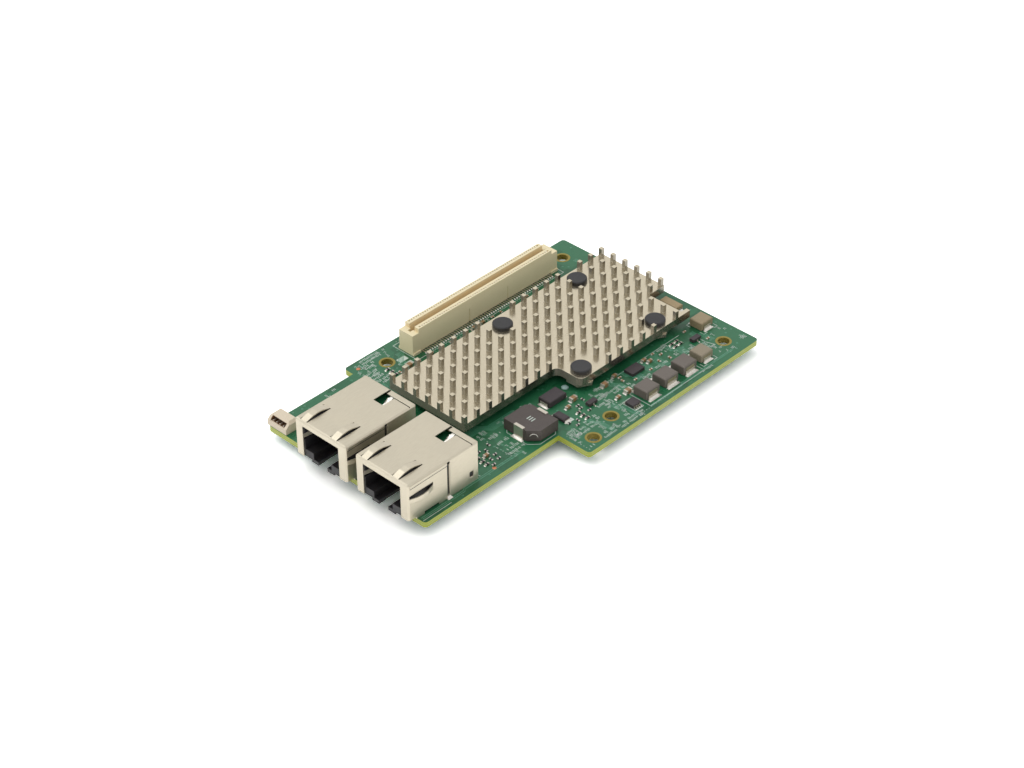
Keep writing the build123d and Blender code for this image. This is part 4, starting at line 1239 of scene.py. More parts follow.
@dataclass
class Print:
    """White print on the board: outlines round parts, rules and small rows of ticks."""

    survey: BoardSurvey
    line: float = 0.16 * MM
    ink: float = 0.014 * MM
    gap: float = 0.45 * MM
    stroke_bevel: float = 0.02
    seed: int = 11
    # Rows of ticks, scattered over the zones
    tick_count: tuple[int, int] = (2, 4)
    tick_heights: tuple[float, ...] = (0.62 * MM, 0.72 * MM)
    tick_shares: tuple[float, ...] = (1.0, 1.0, 0.55)
    tick_turns: tuple[float, ...] = (0.0, 0.0, 90.0)
    tick_width: float = 0.14 * MM
    tick_pitch: float = 0.42 * MM
    tick_room: float = 0.45 * MM
    tick_reach: float = 0.9 * MM
    bar_chance: float = 0.6
    bar_shift: float = 0.1 * MM
    bar_levels: tuple[float, ...] = (-0.3, 0.0, 0.3)
    bar_size: Point = (0.24 * MM, 0.12 * MM)
    # Longer rows of marks, and rows of dots
    mark_heights: tuple[float, ...] = (0.45 * MM, 0.7 * MM, 0.8 * MM, 0.8 * MM)
    mark_shifts: tuple[float, ...] = (-0.1 * MM, 0.0, 0.1 * MM)
    mark_width: float = 0.2 * MM
    mark_pitch: float = 0.5 * MM
    mark_room: float = 0.1 * MM
    mark_skips: float = 0.14
    # Lines that go with the larger parts
    row_margin: Point = (1.4 * MM, 0.9 * MM)
    bracket_arm: float = 1.3 * MM
    bracket_margin: float = 0.6 * MM
    core_gap: float = 0.6 * MM
    core_cut: float = 2.2 * MM
    small_gap: float = 0.35 * MM
    housing_margin: float = 1.3 * MM
    housing_gap: float = 0.4 * MM
    corner_start: float = 1.6 * MM
    corner_bend: Point = (-3.2 * MM, -3.4 * MM)
    corner_end: Point = (-0.6 * MM, -2.6 * MM)
    jack_rule: Point = (1.2 * MM, 0.5 * MM)
    # How far a rule is beside its part, then where it starts and ends
    side_rule: Triple = (0.8 * MM, 3.0 * MM, 12.2 * MM)
    sink_rule: Triple = (0.9 * MM, 37 * MM, 10 * MM)
    # The mark on the large inductor
    core_bar: Point = (0.26 * MM, 1.5 * MM)
    core_bar_places: tuple[float, ...] = (-0.75 * MM, 0.0, 0.75 * MM)
    core_bar_bevel: float = 0.004 * MM
    # Two corners of each zone in millimetres, and how many rows are tried there
    zones: tuple[tuple[float, float, float, float, int], ...] = (
        (24.5, -7.0, 33.0, 13.0, 90),
        (17.5, 8.0, 25.0, 45.0, 150),
        (22.0, 42.0, 33.0, 55.0, 44),
        (9.0, -25.0, 23.0, 6.0, 80),
        (21.8, -50.0, 23.5, -14.0, 5),
        (-33.0, -24.0, -20.0, -12.0, 44),
        (-24.5, -8.0, -18.0, 44.0, 26),
        (-33.0, -54.0, -19.0, -28.0, 12),
        (-20.0, 44.0, 20.0, 56.0, 8),
        (-17.0, -32.0, 22.0, -26.0, 16),
    )
    # Two ends of each row of dots in millimetres, and its number of dots
    dot_rows: tuple[tuple[float, float, float, float, int], ...] = (
        (32.7, 9.0, 32.7, 24.0, 18),
        (25.6, -7.0, 33.0, -7.0, 9),
        (24.6, 10.8, 24.6, 16.0, 7),
        (18.0, 37.5, 25.0, 37.5, 9),
        (13.0, -21.8, 21.0, -21.8, 10),
        (-32.8, -8.0, -32.8, 30.0, 40),
    )
    # Start and length of each row of marks in millimetres
    mark_rows: tuple[tuple[float, float, float], ...] = (
        (24.9, -6.6, 11.0), (26.2, -6.2, 8.0), (27.5, -6.6, 9.0), (31.4, -5.6, 9.5), (32.6, -6.4, 10.0),
        (25.2, 8.4, 5.6), (26.6, 9.6, 4.6), (30.4, 9.0, 4.8), (31.8, 8.6, 6.0), (32.9, 5.0, 8.0),
        (-33.0, -21.6, 7.6), (-31.9, -21.2, 7.0), (-30.8, -21.6, 4.4), (-29.7, -22.0, 3.6),
        (-27.6, -24.0, 4.8), (-26.4, -23.6, 5.0), (-25.2, -24.0, 4.6), (-23.8, -22.6, 5.4),
        (-22.6, -22.2, 4.8),
        (28.4, 47.0, 4.0), (32.4, 35.0, 5.0), (20.0, 8.2, 4.4), (21.4, 7.6, 5.0), (23.2, 7.0, 5.2),
        (12.6, -20.6, 4.6), (15.6, -20.8, 5.0), (18.8, -20.6, 4.4), (20.2, -21.0, 5.6),
        (18.4, 12.0, 9.0), (19.6, 22.5, 8.0), (21.2, 10.0, 8.5), (22.4, 14.0, 6.0), (23.6, 19.0, 9.0),
        (24.6, 24.0, 7.0), (18.6, 34.5, 7.0), (20.2, 36.0, 5.0), (23.0, 28.5, 6.0), (24.4, 36.0, 6.0),
    )
    # Middle and size of each filled label in millimetres
    labels: tuple[tuple[float, float, float, float], ...] = (
        (-26.2, -12.2, 1.7, 2.8), (-23.8, -12.2, 1.4, 2.4), (-22.0, -13.6, 1.0, 1.6), (21.8, -1.6, 1.2, 1.6),
        (27.2, -4.2, 0.9, 1.4),
    )
    strokes: list[Matrix] = field(default_factory=list)

    def dab(self, x: float, y: float, turn: float, size: Point) -> None:
        """Lay one rectangle of ink about its middle, in metres and degrees."""
        self.strokes.append(at(x, y, self.survey.top, turn, (*size, self.ink)))

    def stroke(self, start: Point, end: Point) -> None:
        """Lay one straight line of ink.

        Args:
            start: One end, in metres.
            end: The other end, in metres.
        """
        run = Vector((end[0] - start[0], end[1] - start[1]))
        turn = math.degrees(math.atan2(run.y, run.x))
        middle = ((start[0] + end[0]) / 2, (start[1] + end[1]) / 2)
        self.dab(*middle, turn, (run.length + self.line, self.line))

    def loop(self, corners: tuple[Point, ...]) -> None:
        """Lay lines of ink from corner to corner and back to the first one."""
        for start, end in zip(corners, corners[1:] + corners[:1]):
            self.stroke(start, end)

    def outline(self, low: Sequence[float], high: Sequence[float], gap: float | None = None) -> None:
        """Print a rectangle round a part's box.

        Args:
            low: The box's lowest corner, in metres.
            high: The box's highest corner, in metres.
            gap: Room between the box and the line, in metres, or None for the usual one.
        """
        room = self.gap if gap is None else gap
        x0, y0, x1, y1 = low[0] - room, low[1] - room, high[0] + room, high[1] + room
        self.loop(((x0, y0), (x1, y0), (x1, y1), (x0, y1)))

    def brackets(self, low: Sequence[float], high: Sequence[float]) -> None:
        """Print a corner bracket at each corner of a part's box.

        Args:
            low: The box's lowest corner, in metres.
            high: The box's highest corner, in metres.
        """
        room, arm = self.gap, self.bracket_arm
        for x, inward_x in ((low[0] - room, arm), (high[0] + room, -arm)):
            for y, inward_y in ((low[1] - room, arm), (high[1] + room, -arm)):
                self.stroke((x, y), (x + inward_x, y))
                self.stroke((x, y), (x, y + inward_y))

    def tick_row(self, x: float, y: float, turn: float, draw: random.Random) -> None:
        """Print a short row of ticks, as small as a part's number.

        Args:
            x: Place in metres.
            y: Place in metres.
            turn: Turn of the row in degrees.
            draw: Source of the ticks' number, heights and bars.
        """
        lean = Matrix.Rotation(math.radians(turn), 4, "Z")
        tall = draw.choice(self.tick_heights)
        for number in range(draw.randint(*self.tick_count)):
            offset = number * self.tick_pitch
            height = tall * draw.choice(self.tick_shares)
            spot = lean @ Vector((offset, (tall - height) / 2, 0))
            self.dab(x + spot.x, y + spot.y, turn, (self.tick_width, height))
            if draw.random() < self.bar_chance:
                bar = lean @ Vector((offset + self.bar_shift, draw.choice(self.bar_levels) * tall, 0))
                self.dab(x + bar.x, y + bar.y, turn, self.bar_size)

    def mark_row(self, x: float, y: float, length: float, draw: random.Random) -> None:
        """Print a row of small marks that runs along Y from a point, where the board is free.

        Args:
            x: Place in metres.
            y: Place in metres.
            length: Length of the row in metres.
            draw: Source of the marks' heights, shifts and gaps.
        """
        for step in range(int(length / self.mark_pitch)):
            spot = y + step * self.mark_pitch
            tall = draw.choice(self.mark_heights)
            shift = draw.choice(self.mark_shifts)
            if draw.random() < self.mark_skips or not self.survey.free(x, spot, self.mark_room):
                continue
            self.dab(x + shift, spot, 0.0, (tall, self.mark_width))

    def cut_outline(self, low: Sequence[float], high: Sequence[float]) -> None:
        """Print a rectangle with cut corners round the large inductor's box.

        Args:
            low: The box's lowest corner, in metres.
            high: The box's highest corner, in metres.
        """
        gap, cut = self.core_gap, self.core_cut
        x0, y0, x1, y1 = low[0] - gap, low[1] - gap, high[0] + gap, high[1] + gap
        corners = (
            (x0 + cut, y0), (x1 - cut, y0), (x1, y0 + cut), (x1, y1 - cut),
            (x1 - cut, y1), (x0 + cut, y1), (x0, y1 - cut), (x0, y0 + cut),
        )
        self.loop(corners)

    def inductor_lines(self) -> None:
        """Print the row's frame, the brackets and the cut outline that go with the inductors."""
        row_low, row_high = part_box("inductor_1_terminals"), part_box("inductor_3_terminals")
        across, along = self.row_margin
        self.outline(row_low[0] - Vector((0, along, 0)), row_high[1] + Vector((across, along, 0)))
        for node in ("inductor_4", "inductor_5"):
            low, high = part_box(f"{node}_terminals")
            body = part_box(f"{node}_body")
            self.brackets((low.x, body[0].y), (high.x + self.bracket_margin, body[1].y))
        self.cut_outline(*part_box("bulk_inductor_core"))

    def box_lines(self) -> None:
        """Print the frames of the memory chip, of two capacitors and of the connector."""
        for node in ("memory_chip_leads", "polymer_capacitor_terminals", "tantalum_capacitor_terminals"):
            self.outline(*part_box(node), self.small_gap)
        low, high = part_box("mezzanine_housing")
        beside = Vector((self.housing_margin, 0, 0))
        self.outline(low - beside, high + beside, self.housing_gap)

    def rules(self) -> None:
        """Print the single lines at the back corner, behind the jacks, beside the second jack and beside the
        sink.
        """
        hole = max(self.survey.holes, key=lambda spot: spot.x + spot.y)
        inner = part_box("inductor_5_terminals")[1]
        bend = (hole.x + self.corner_bend[0], hole.y + self.corner_bend[1])
        self.stroke((inner.x + self.corner_start, bend[1]), bend)
        self.stroke(bend, (hole.x + self.corner_end[0], hole.y + self.corner_end[1]))
        inset, behind = self.jack_rule
        for jack in ("jack_1_shield", "jack_2_shield"):
            low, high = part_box(jack)
            self.stroke((low.x + inset, high.y + behind), (high.x - inset, high.y + behind))
        beside, start, end = self.side_rule
        self.stroke((high.x + beside, low.y + start), (high.x + beside, low.y + end))
        low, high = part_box("heat_sink")
        beside, start, end = self.sink_rule
        self.stroke((high.x + beside, low.y + start), (high.x + beside, high.y - end))

    def tick_zones(self, draw: random.Random) -> None:
        """Scatter rows of ticks over the zones, where the board is free.

        Args:
            draw: Source of the rows' places, turns and ticks.
        """
        room, reach = self.tick_room, self.tick_reach
        for x0, y0, x1, y1, count in self.zones:
            for _ in range(count):
                x, y = draw.uniform(x0, x1) * MM, draw.uniform(y0, y1) * MM
                turn = draw.choice(self.tick_turns)
                if self.survey.free(x, y, room) and self.survey.free(x + reach, y, room):
                    self.tick_row(x, y, turn, draw)

    def dot_lines(self) -> None:
        """Print the rows of square dots, where the board is free."""
        for x0, y0, x1, y1, count in self.dot_rows:
            for step in range(count):
                part = step / (count - 1)
                x, y = (x0 + (x1 - x0) * part) * MM, (y0 + (y1 - y0) * part) * MM
                if self.survey.free(x, y, self.mark_room):
                    self.dab(x, y, 0.0, (self.mark_width, self.mark_width))

    def mark_core(self, shop: Paintshop) -> None:
        """Print a plain mark of three bars on the large inductor's top.

        Args:
            shop: The paintshop.
        """
        low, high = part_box("bulk_inductor_core")
        middle = (low + high) / 2
        bar = slab("core_mark", (*self.core_bar, self.ink), self.core_bar_bevel)
        spots = [at(middle.x + offset, middle.y, high.z) for offset in self.core_bar_places]
        shop.deliver(copies(bar, "core_mark", spots), INK)

    def build(self, shop: Paintshop) -> None:
        """Print everything on the board's top and the large inductor's mark.

        Args:
            shop: The paintshop.
        """
        draw = random.Random(self.seed)
        self.inductor_lines()
        self.box_lines()
        self.rules()
        self.tick_zones(draw)
        self.dot_lines()
        for x, y, length in self.mark_rows:
            self.mark_row(x * MM, y * MM, length * MM, draw)
        for x, y, wide, deep in self.labels:
            self.dab(x * MM, y * MM, 0.0, (wide * MM, deep * MM))
        unit = slab("ink_stroke", (1, 1, 1), self.stroke_bevel)
        shop.deliver(copies(unit, "board_print", self.strokes), INK)
        self.mark_core(shop)


@dataclass
class Solder:
    """Solder on the parts' terminals, the connector's feet and the jacks' tails.

    Reaches, heights and toes are in millimetres, because they stretch a wedge of 1 mm.
    """

    survey: BoardSurvey
    joints_x: tuple[tuple[str, float, float], ...] = (
        ("inductor_1", 0.9, 0.36),
        ("inductor_2", 0.9, 0.36),
        ("inductor_3", 0.9, 0.36),
        ("inductor_4", 0.7, 0.36),
        ("inductor_5", 0.7, 0.36),
        ("tantalum_capacitor", 0.6, 0.6),
        ("diode", 0.5, 0.4),
    )
    joints_y: tuple[tuple[str, float, float], ...] = (
        ("bulk_inductor", 0.8, 0.5),
        ("polymer_capacitor", 0.6, 0.5),
    )
    # How much wider a joint is than its terminals
    side_room: float = 0.7
    chip_reach: float = 0.35
    chip_share: float = 0.7
    lead_toe: Triple = (0.25, 0.42, 0.14)
    pin_toe: Triple = (0.5, 0.6, 0.4)
    contact_toe: Triple = (0.4, 0.44, 0.2)
    cone_radii: Point = (0.3 * MM, 0.85 * MM)
    cone_depth: float = 0.75 * MM
    cone_waist: float = 0.78
    cone_corners: int = 16
    tab_setback: float = 13.2 * MM
    tab_side: float = 0.2 * MM
    tab_stretch: Triple = (0.75, 1.3, 1.0)

    def block_joints(self) -> bpy.types.Object:
        """Solder the two ends of each block part that stands on sheet terminals.

        Returns:
            The joints as one piece.
        """
        places = []
        for node, reach, height in self.joints_x:
            low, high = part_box(f"{node}_terminals")
            middle = (low.y + high.y) / 2
            scale = (reach, (high.y - low.y) / MM + self.side_room, height)
            places.append(at(high.x, middle, self.survey.top, 0, scale))
            places.append(at(low.x, middle, self.survey.top, 180, scale))
        for node, reach, height in self.joints_y:
            low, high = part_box(f"{node}_terminals")
            middle = (low.x + high.x) / 2
            scale = (reach, (high.x - low.x) / MM + self.side_room, height)
            places.append(at(middle, high.y, self.survey.top, 90, scale))
            places.append(at(middle, low.y, self.survey.top, 270, scale))
        return copies(solder_wedge("block_solder"), "block_solder", places)

    def chip_joints(self) -> bpy.types.Object:
        """Solder the outer side of each small chip's metal ends.

        Returns:
            The joints as one piece.
        """
        places = []
        for ends, bodies in (("capacitor_ends", "capacitor_bodies"), ("resistor_ends", "resistor_bodies")):
            bodies_at = middles(bodies)
            for low, high in islands(ends):
                centre = (low + high) / 2
                body = min(bodies_at, key=lambda spot: (spot - centre).length)
                outward = 1 if centre.y > body.y else -1
                side = high.y if outward > 0 else low.y
                scale = (self.chip_reach, (high.x - low.x) / MM, (high.z - low.z) * self.chip_share / MM)
                places.append(at(centre.x, side, self.survey.top, 90 * outward, scale))
        return copies(solder_wedge("chip_solder"), "chip_solder", places)

    def lead_joints(self) -> bpy.types.Object:
        """Solder the toes of the leaded chips and the header's pins.

        Returns:
            The joints as one piece.
        """
        places = []
        chips = (("memory_chip_leads", "memory_chip_body"), ("transistor_leads", "transistor_bodies"))
        for leads, bodies in chips:
            bodies_at = middles(bodies)
            for low, high in islands(leads):
                centre = (low + high) / 2
                body = min(bodies_at, key=lambda spot: (spot - centre).length)
                outward = centre.x > body.x
                side = high.x if outward else low.x
                places.append(at(side, centre.y, self.survey.top, 0 if outward else 180, self.lead_toe))
        for low, high in islands("header_pins"):
            places.append(at((low.x + high.x) / 2, high.y, self.survey.top, 90, self.pin_toe))
        return copies(solder_wedge("lead_solder"), "lead_solder", places)

    def connector_joints(self) -> bpy.types.Object:
        """Solder the toe of every contact foot of the mezzanine connector.

        Returns:
            The joints as one piece.
        """
        places = []
        middle = sum(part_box("mezzanine_housing"), Vector()).x / 2
        for low, high in islands("mezzanine_contacts"):
            right = high.x > middle
            toe, turn = (high.x, 0) if right else (low.x, 180)
            places.append(at(toe, (low.y + high.y) / 2, self.survey.top, turn, self.contact_toe))
        return copies(solder_wedge("connector_solder"), "connector_solder", places)

    def tail_cones(self) -> bpy.types.Object:
        """Solder each tail and shell tab under the board with a hollow cone.

        Returns:
            The cones as one piece.
        """
        depth, (low_radius, high_radius) = self.cone_depth, self.cone_radii
        deselect_all()
        bpy.ops.mesh.primitive_cone_add(
            vertices=self.cone_corners, radius1=low_radius, radius2=high_radius, depth=depth
        )
        cone = begin("tail_solder")
        bpy.ops.object.mode_set(mode="EDIT")
        bpy.ops.mesh.select_all(action="SELECT")
        bpy.ops.transform.translate(value=(0, 0, -depth / 2))
        pick(cone, Pick.EDGES, lambda a, b: abs(a.z - b.z) > depth / 2)
        bpy.ops.mesh.subdivide(number_cuts=1)
        pick(cone, Pick.EDGES, lambda a, b: max(abs(a.z + depth / 2), abs(b.z + depth / 2)) < SLACK)
        bpy.ops.transform.resize(value=(self.cone_waist, self.cone_waist, 1), center_override=(0, 0, 0))
        bpy.ops.object.mode_set(mode="OBJECT")
        places = []
        for jack in JACKS:
            for spot in middles(f"{jack}_tails"):
                places.append(at(spot.x, spot.y, self.survey.under))
            low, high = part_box(f"{jack}_insert")
            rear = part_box(f"{jack}_shield")[0].y + self.tab_setback
            for x in (low.x - self.tab_side, high.x + self.tab_side):
                places.append(at(x, rear, self.survey.under, 0, self.tab_stretch))
        return copies(cone, "tail_solder", places)

    def build(self, shop: Paintshop) -> None:
        """Solder everything.

        Args:
            shop: The paintshop.
        """
        made = (
            self.block_joints(),
            self.chip_joints(),
            self.lead_joints(),
            self.connector_joints(),
            self.tail_cones(),
        )
        for piece in made:
            shop.deliver(piece, SOLDER)


@dataclass
class SmallChips:
    """The smallest chips of the board, too small to be solids of their own."""

    survey: BoardSurvey
    length: float = 1.0 * MM
    width: float = 0.5 * MM
    height: float = 0.35 * MM
    body_share: float = 0.56
    body_bevel: float = 0.02 * MM
    end_share: float = 0.24
    end_swell: float = 1.06
    end_bevel: float = 0.03 * MM
    end_place: float = 0.4
    room: float = 0.3 * MM
    reach: float = 0.6 * MM
    turned_every: int = 3
    dark_until: float = 15.0 * MM
    front_places: tuple[Point, ...] = (
        (15.4, -24.6), (17.9, -24.2), (14.6, -26.4), (18.6, -26.2), (19.6, -24.6), (20.4, -27.2),
        (14.2, -22.6),
    )
    middle_places: tuple[Point, ...] = (
        (19.4, 3.6), (20.6, 3.4), (23.4, -0.6), (24.6, -2.0), (22.6, -3.0), (18.6, 6.4), (22.6, 4.4),
    )
    row_places: tuple[Point, ...] = (
        (19.2, 19.4), (20.6, 19.0), (22.6, 21.6), (22.6, 27.4), (21.8, 31.6), (18.6, 32.6), (20.2, 34.0),
        (22.8, 34.6), (23.4, 43.2), (21.4, 46.4), (24.4, 47.6), (18.2, 45.6),
    )
    left_places: tuple[Point, ...] = (
        (-22.4, -16.6), (-20.6, -18.2), (-22.4, -10.0), (-22.3, -2.6), (-22.3, 1.4), (-22.3, 16.6),
        (-22.3, 19.8), (-22.3, 29.6), (-22.3, 33.4), (-22.3, 37.2), (-20.4, -14.0), (-24.0, -25.6),
        (-26.2, -25.6), (-21.6, -25.2),
    )

    def body(self) -> bpy.types.Object:
        """Model one chip's body, which runs along Y."""
        return slab("small_chip", (self.width, self.length * self.body_share, self.height), self.body_bevel)

    def cap(self) -> bpy.types.Object:
        """Model one chip's metal end, a hair larger than the body."""
        size = (self.width * self.end_swell, self.length * self.end_share, self.height * self.end_swell)
        return slab("small_chip_end", size, self.end_bevel, 2)

    def build(self, shop: Paintshop) -> None:
        """Model the chips in their free places and mark these as taken.

        Args:
            shop: The paintshop.
        """
        wanted = (*self.front_places, *self.middle_places, *self.row_places, *self.left_places)
        free = [(x * MM, y * MM) for x, y in wanted if self.survey.free(x * MM, y * MM, self.room)]
        turns = [0.0 if number % self.turned_every else 90.0 for number in range(len(free))]
        bodies = [at(x, y, self.survey.top, turn) for (x, y), turn in zip(free, turns)]
        half = self.length * self.end_place
        ends = [place @ Matrix.Translation((0, side * half, 0)) for place in bodies for side in (-1, 1)]
        dark = len([spot for spot in free if spot[0] > 0 and spot[1] < self.dark_until])
        kinds = (
            ("small_resistors", bodies[:dark], "resistor_film"),
            ("small_capacitors", bodies[dark:], "capacitor_ceramic"),
        )
        for name, spots, slot in kinds:
            shop.deliver(copies(self.body(), name, spots), FINISHES[slot])
        shop.deliver(copies(self.cap(), "small_chip_ends", ends), SOLDER)
        reach = self.reach
        for x, y in free:
            self.survey.taken.append((Vector((x - reach, y - reach, 0)), Vector((x + reach, y + reach, 1))))


@dataclass
class JackTrim:
    """Sheet details of the jacks: window tabs, folded strips, dark strips of painted shadow under the folded
    strips and along the seams, seam lips and their solder.
    """

    survey: BoardSurvey
    tab_width: float = 0.9 * MM
    tab_sheet: float = 0.2 * MM
    tab_root: float = 0.3 * MM
    tab_steps: tuple[Triple, ...] = ((0.0, -0.5, -0.06), (-0.1, -0.9, -0.4), (-0.15, -0.9, -0.8))
    tab_bevel: float = 0.04 * MM
    tab_place: Triple = (2.65 * MM, 21.2 * MM, 11.05 * MM)
    # From the side of a jack's insert to the outside of its shell
    shell: float = 0.35 * MM
    flange_length: float = 12.0 * MM
    flange_height: float = 0.8 * MM
    flange_sheet: float = 0.12 * MM
    flange_setback: float = 0.7 * MM
    flange_level: float = 9.8 * MM
    # Height and thickness of the dark strips of painted shadow under the folded strips and along the seams.
    gap: float = 0.24 * MM
    shadow_strip_sheet: float = 0.03 * MM
    seam_setback: float = 13.2 * MM
    seam_levels: Point = (0.9 * MM, 10.2 * MM)
    seam_toe: Triple = (0.7, 1.5, 0.55)
    lip: float = 0.34 * MM
    lip_shift: float = 0.25 * MM
    # How far each seam's strip of painted shadow is moved from the seam.
    shadow_strip_shift: float = 0.32 * MM
    strip_bevel: float = 0.04

    def walls(self) -> Iterable[tuple[int, float, float]]:
        """Go through the jacks' side walls.

        Returns:
            For each wall its sign along X, its place along X and its jack's front, in metres.
        """
        for jack in JACKS:
            low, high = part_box(f"{jack}_insert")
            half = (high.x - low.x) / 2 + self.shell
            for side in (-1, 1):
                yield side, (low.x + high.x) / 2 + side * half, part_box(f"{jack}_shield")[0].y

    def tabs(self, shop: Paintshop) -> None:
        """Model the tab once, bent down in three steps, and copy it into both windows.

        Args:
            shop: The paintshop.
        """
        deselect_all()
        bpy.ops.mesh.primitive_plane_add(size=1, location=(0, 0, 0))
        bpy.ops.transform.resize(value=(self.tab_width, self.tab_root, 1))
        tab = begin("window_tab")
        for step in self.tab_steps:
            edge = min(corner.co.y for corner in tab.data.vertices)
            pick(tab, Pick.EDGES, lambda a, b: max(a.y, b.y) < edge + SLACK)
            bpy.ops.mesh.extrude_region_move(TRANSFORM_OT_translate={"value": [value * MM for value in step]})
        bpy.ops.object.mode_set(mode="OBJECT")
        apply_modifier(tab, "SOLIDIFY", thickness=self.tab_sheet, offset=-1.0)
        apply_modifier(tab, "BEVEL", width=self.tab_bevel, segments=2)
        right, behind, above = self.tab_place
        places = []
        for jack in JACKS:
            low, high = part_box(f"{jack}_insert")
            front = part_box(f"{jack}_shield")[0].y
            places.append(at((low.x + high.x) / 2 + right, front + behind, self.survey.top + above))
        # The tabs take the bright solder finish, brighter than the shell's nickel that they are cut from: a
        # painted highlight.
        shop.deliver(copies(tab, "window_tabs", places), SOLDER)

    def strips(self, rise: float, tall: float, shift: float, wide: float, thick: float) -> list[Matrix]:
        """Place a strip along each wall's fold and one along its seam.

        Args:
            rise: How far the fold strip's middle is over the fold, in metres.
            tall: Height of the fold strip, in metres.
            shift: How far the seam strip's middle is behind the seam, in metres.
            wide: Width of the seam strip, in metres.
            thick: Thickness of both, in metres.

        Returns:
            A placement of a unit slab for each strip.
        """
        length = self.flange_length
        low_end, high_end = self.seam_levels
        fold_z = self.survey.top + self.flange_level + rise
        seam_z = self.survey.top + (low_end + high_end) / 2
        places = []
        for side, wall, front in self.walls():
            fold_y = front + self.flange_setback + length / 2
            places.append(on_wall(side, wall, fold_y, fold_z, (tall, length, thick)))
            seam_y = front + self.seam_setback + shift
            places.append(on_wall(side, wall, seam_y, seam_z, (high_end - low_end, wide, thick)))
        return places

    def flanges(self, shop: Paintshop) -> None:
        """Model the strip of the top sheet that is folded over the side, and the lip behind each seam.

        Args:
            shop: The paintshop.
        """
        tall, thick = self.flange_height, self.flange_sheet
        places = self.strips(tall / 2, tall, self.lip_shift + self.lip / 2, self.lip, thick)
        strip = slab("folded_strip", (1, 1, 1), self.strip_bevel)
        shop.deliver(copies(strip, "folded_strips", places), FINISHES["shell_nickel"])

    def gaps(self, shop: Paintshop) -> None:
        """Model dark strips of painted shadow under each folded strip, and along each seam for the shade in
        its narrow gap.

        Args:
            shop: The paintshop.
        """
        places = self.strips(-self.gap / 2, self.gap, -self.shadow_strip_shift, self.gap, self.shadow_strip_sheet)
        strip = slab("fold_shadow_strip", (1, 1, 1), self.strip_bevel)
        # The black plastic's finish makes these strips painted shadow.
        shop.deliver(copies(strip, "fold_shadow_strips", places), FINISHES["port_plastic"])

    def seam_solder(self, shop: Paintshop) -> None:
        """Solder the foot of each seam to the board.

        Args:
            shop: The paintshop.
        """
        places = [
            at(wall, front + self.seam_setback, self.survey.top, 0 if side > 0 else 180, self.seam_toe)
            for side, wall, front in self.walls()
        ]
        shop.deliver(copies(solder_wedge("seam_solder"), "seam_solder", places), SOLDER)

    def build(self, shop: Paintshop) -> None:
        """Model the tabs, the folded strips, the strips of painted shadow and the seams' solder.

        Args:
            shop: The paintshop.
        """
        self.tabs(shop)
        self.flanges(shop)
        self.gaps(shop)
        self.seam_solder(shop)


@dataclass
class ConnectorRibs:
    """Ribs between the contacts of the mezzanine connector, which part its two long slots into cavities."""

    rib: Triple = (0.44 * MM, 0.36 * MM, 0.9 * MM)
    bevel: float = 0.03 * MM
    housing_width: float = 4.9 * MM
    drop: float = 0.02 * MM
    wall: float = 0.36 * MM
    slot: float = 0.45 * MM

    def build(self, shop: Paintshop) -> None:
        """Model one rib and copy it between every two contacts of both rows.

        Args:
            shop: The paintshop.
        """
        low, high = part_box("mezzanine_housing")
        middle = (low.x + high.x) / 2
        half = self.housing_width / 2 - self.wall - self.slot / 2
        rows = sorted({round((a.y + b.y) / 2, 6) for a, b in islands("mezzanine_contacts")})
        gaps = [(first + second) / 2 for first, second in zip(rows, rows[1:])]
        level = high.z - self.drop - self.rib[2]
        places = [at(middle + side * half, y, level) for side in (-1, 1) for y in gaps]
        rib = slab("contact_rib", self.rib, self.bevel)
        # The ribs take a brighter cream than the housing: painted light.
        shop.deliver(copies(rib, "contact_ribs", places), LIT_RIB)


@dataclass
class InductorPlates:
    """Bare metal terminals folded up the right-hand side of the row of power inductors."""

    nodes: tuple[str, ...] = ("inductor_1", "inductor_2", "inductor_3", "inductor_4", "inductor_5")
    sheet: float = 0.05 * MM
    share: tuple[float, float] = (0.62, 0.7)
    bevel: float = 0.05

    def build(self, shop: Paintshop) -> None:
        """Model one plate with bevelled edges and stretch a copy onto each inductor.

        Args:
            shop: The paintshop.
        """
        places = []
        for node in self.nodes:
            low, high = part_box(f"{node}_body")
            wide = (high.y - low.y) * self.share[0]
            tall = (high.z - low.z) * self.share[1]
            middle = (low.y + high.y) / 2
            places.append(on_wall(1, high.x, middle, low.z + tall / 2, (tall, wide, self.sheet)))
        plate = slab("side_plate", (1, 1, 1), self.bevel)
        shop.deliver(copies(plate, "side_plates", places), PLATE)


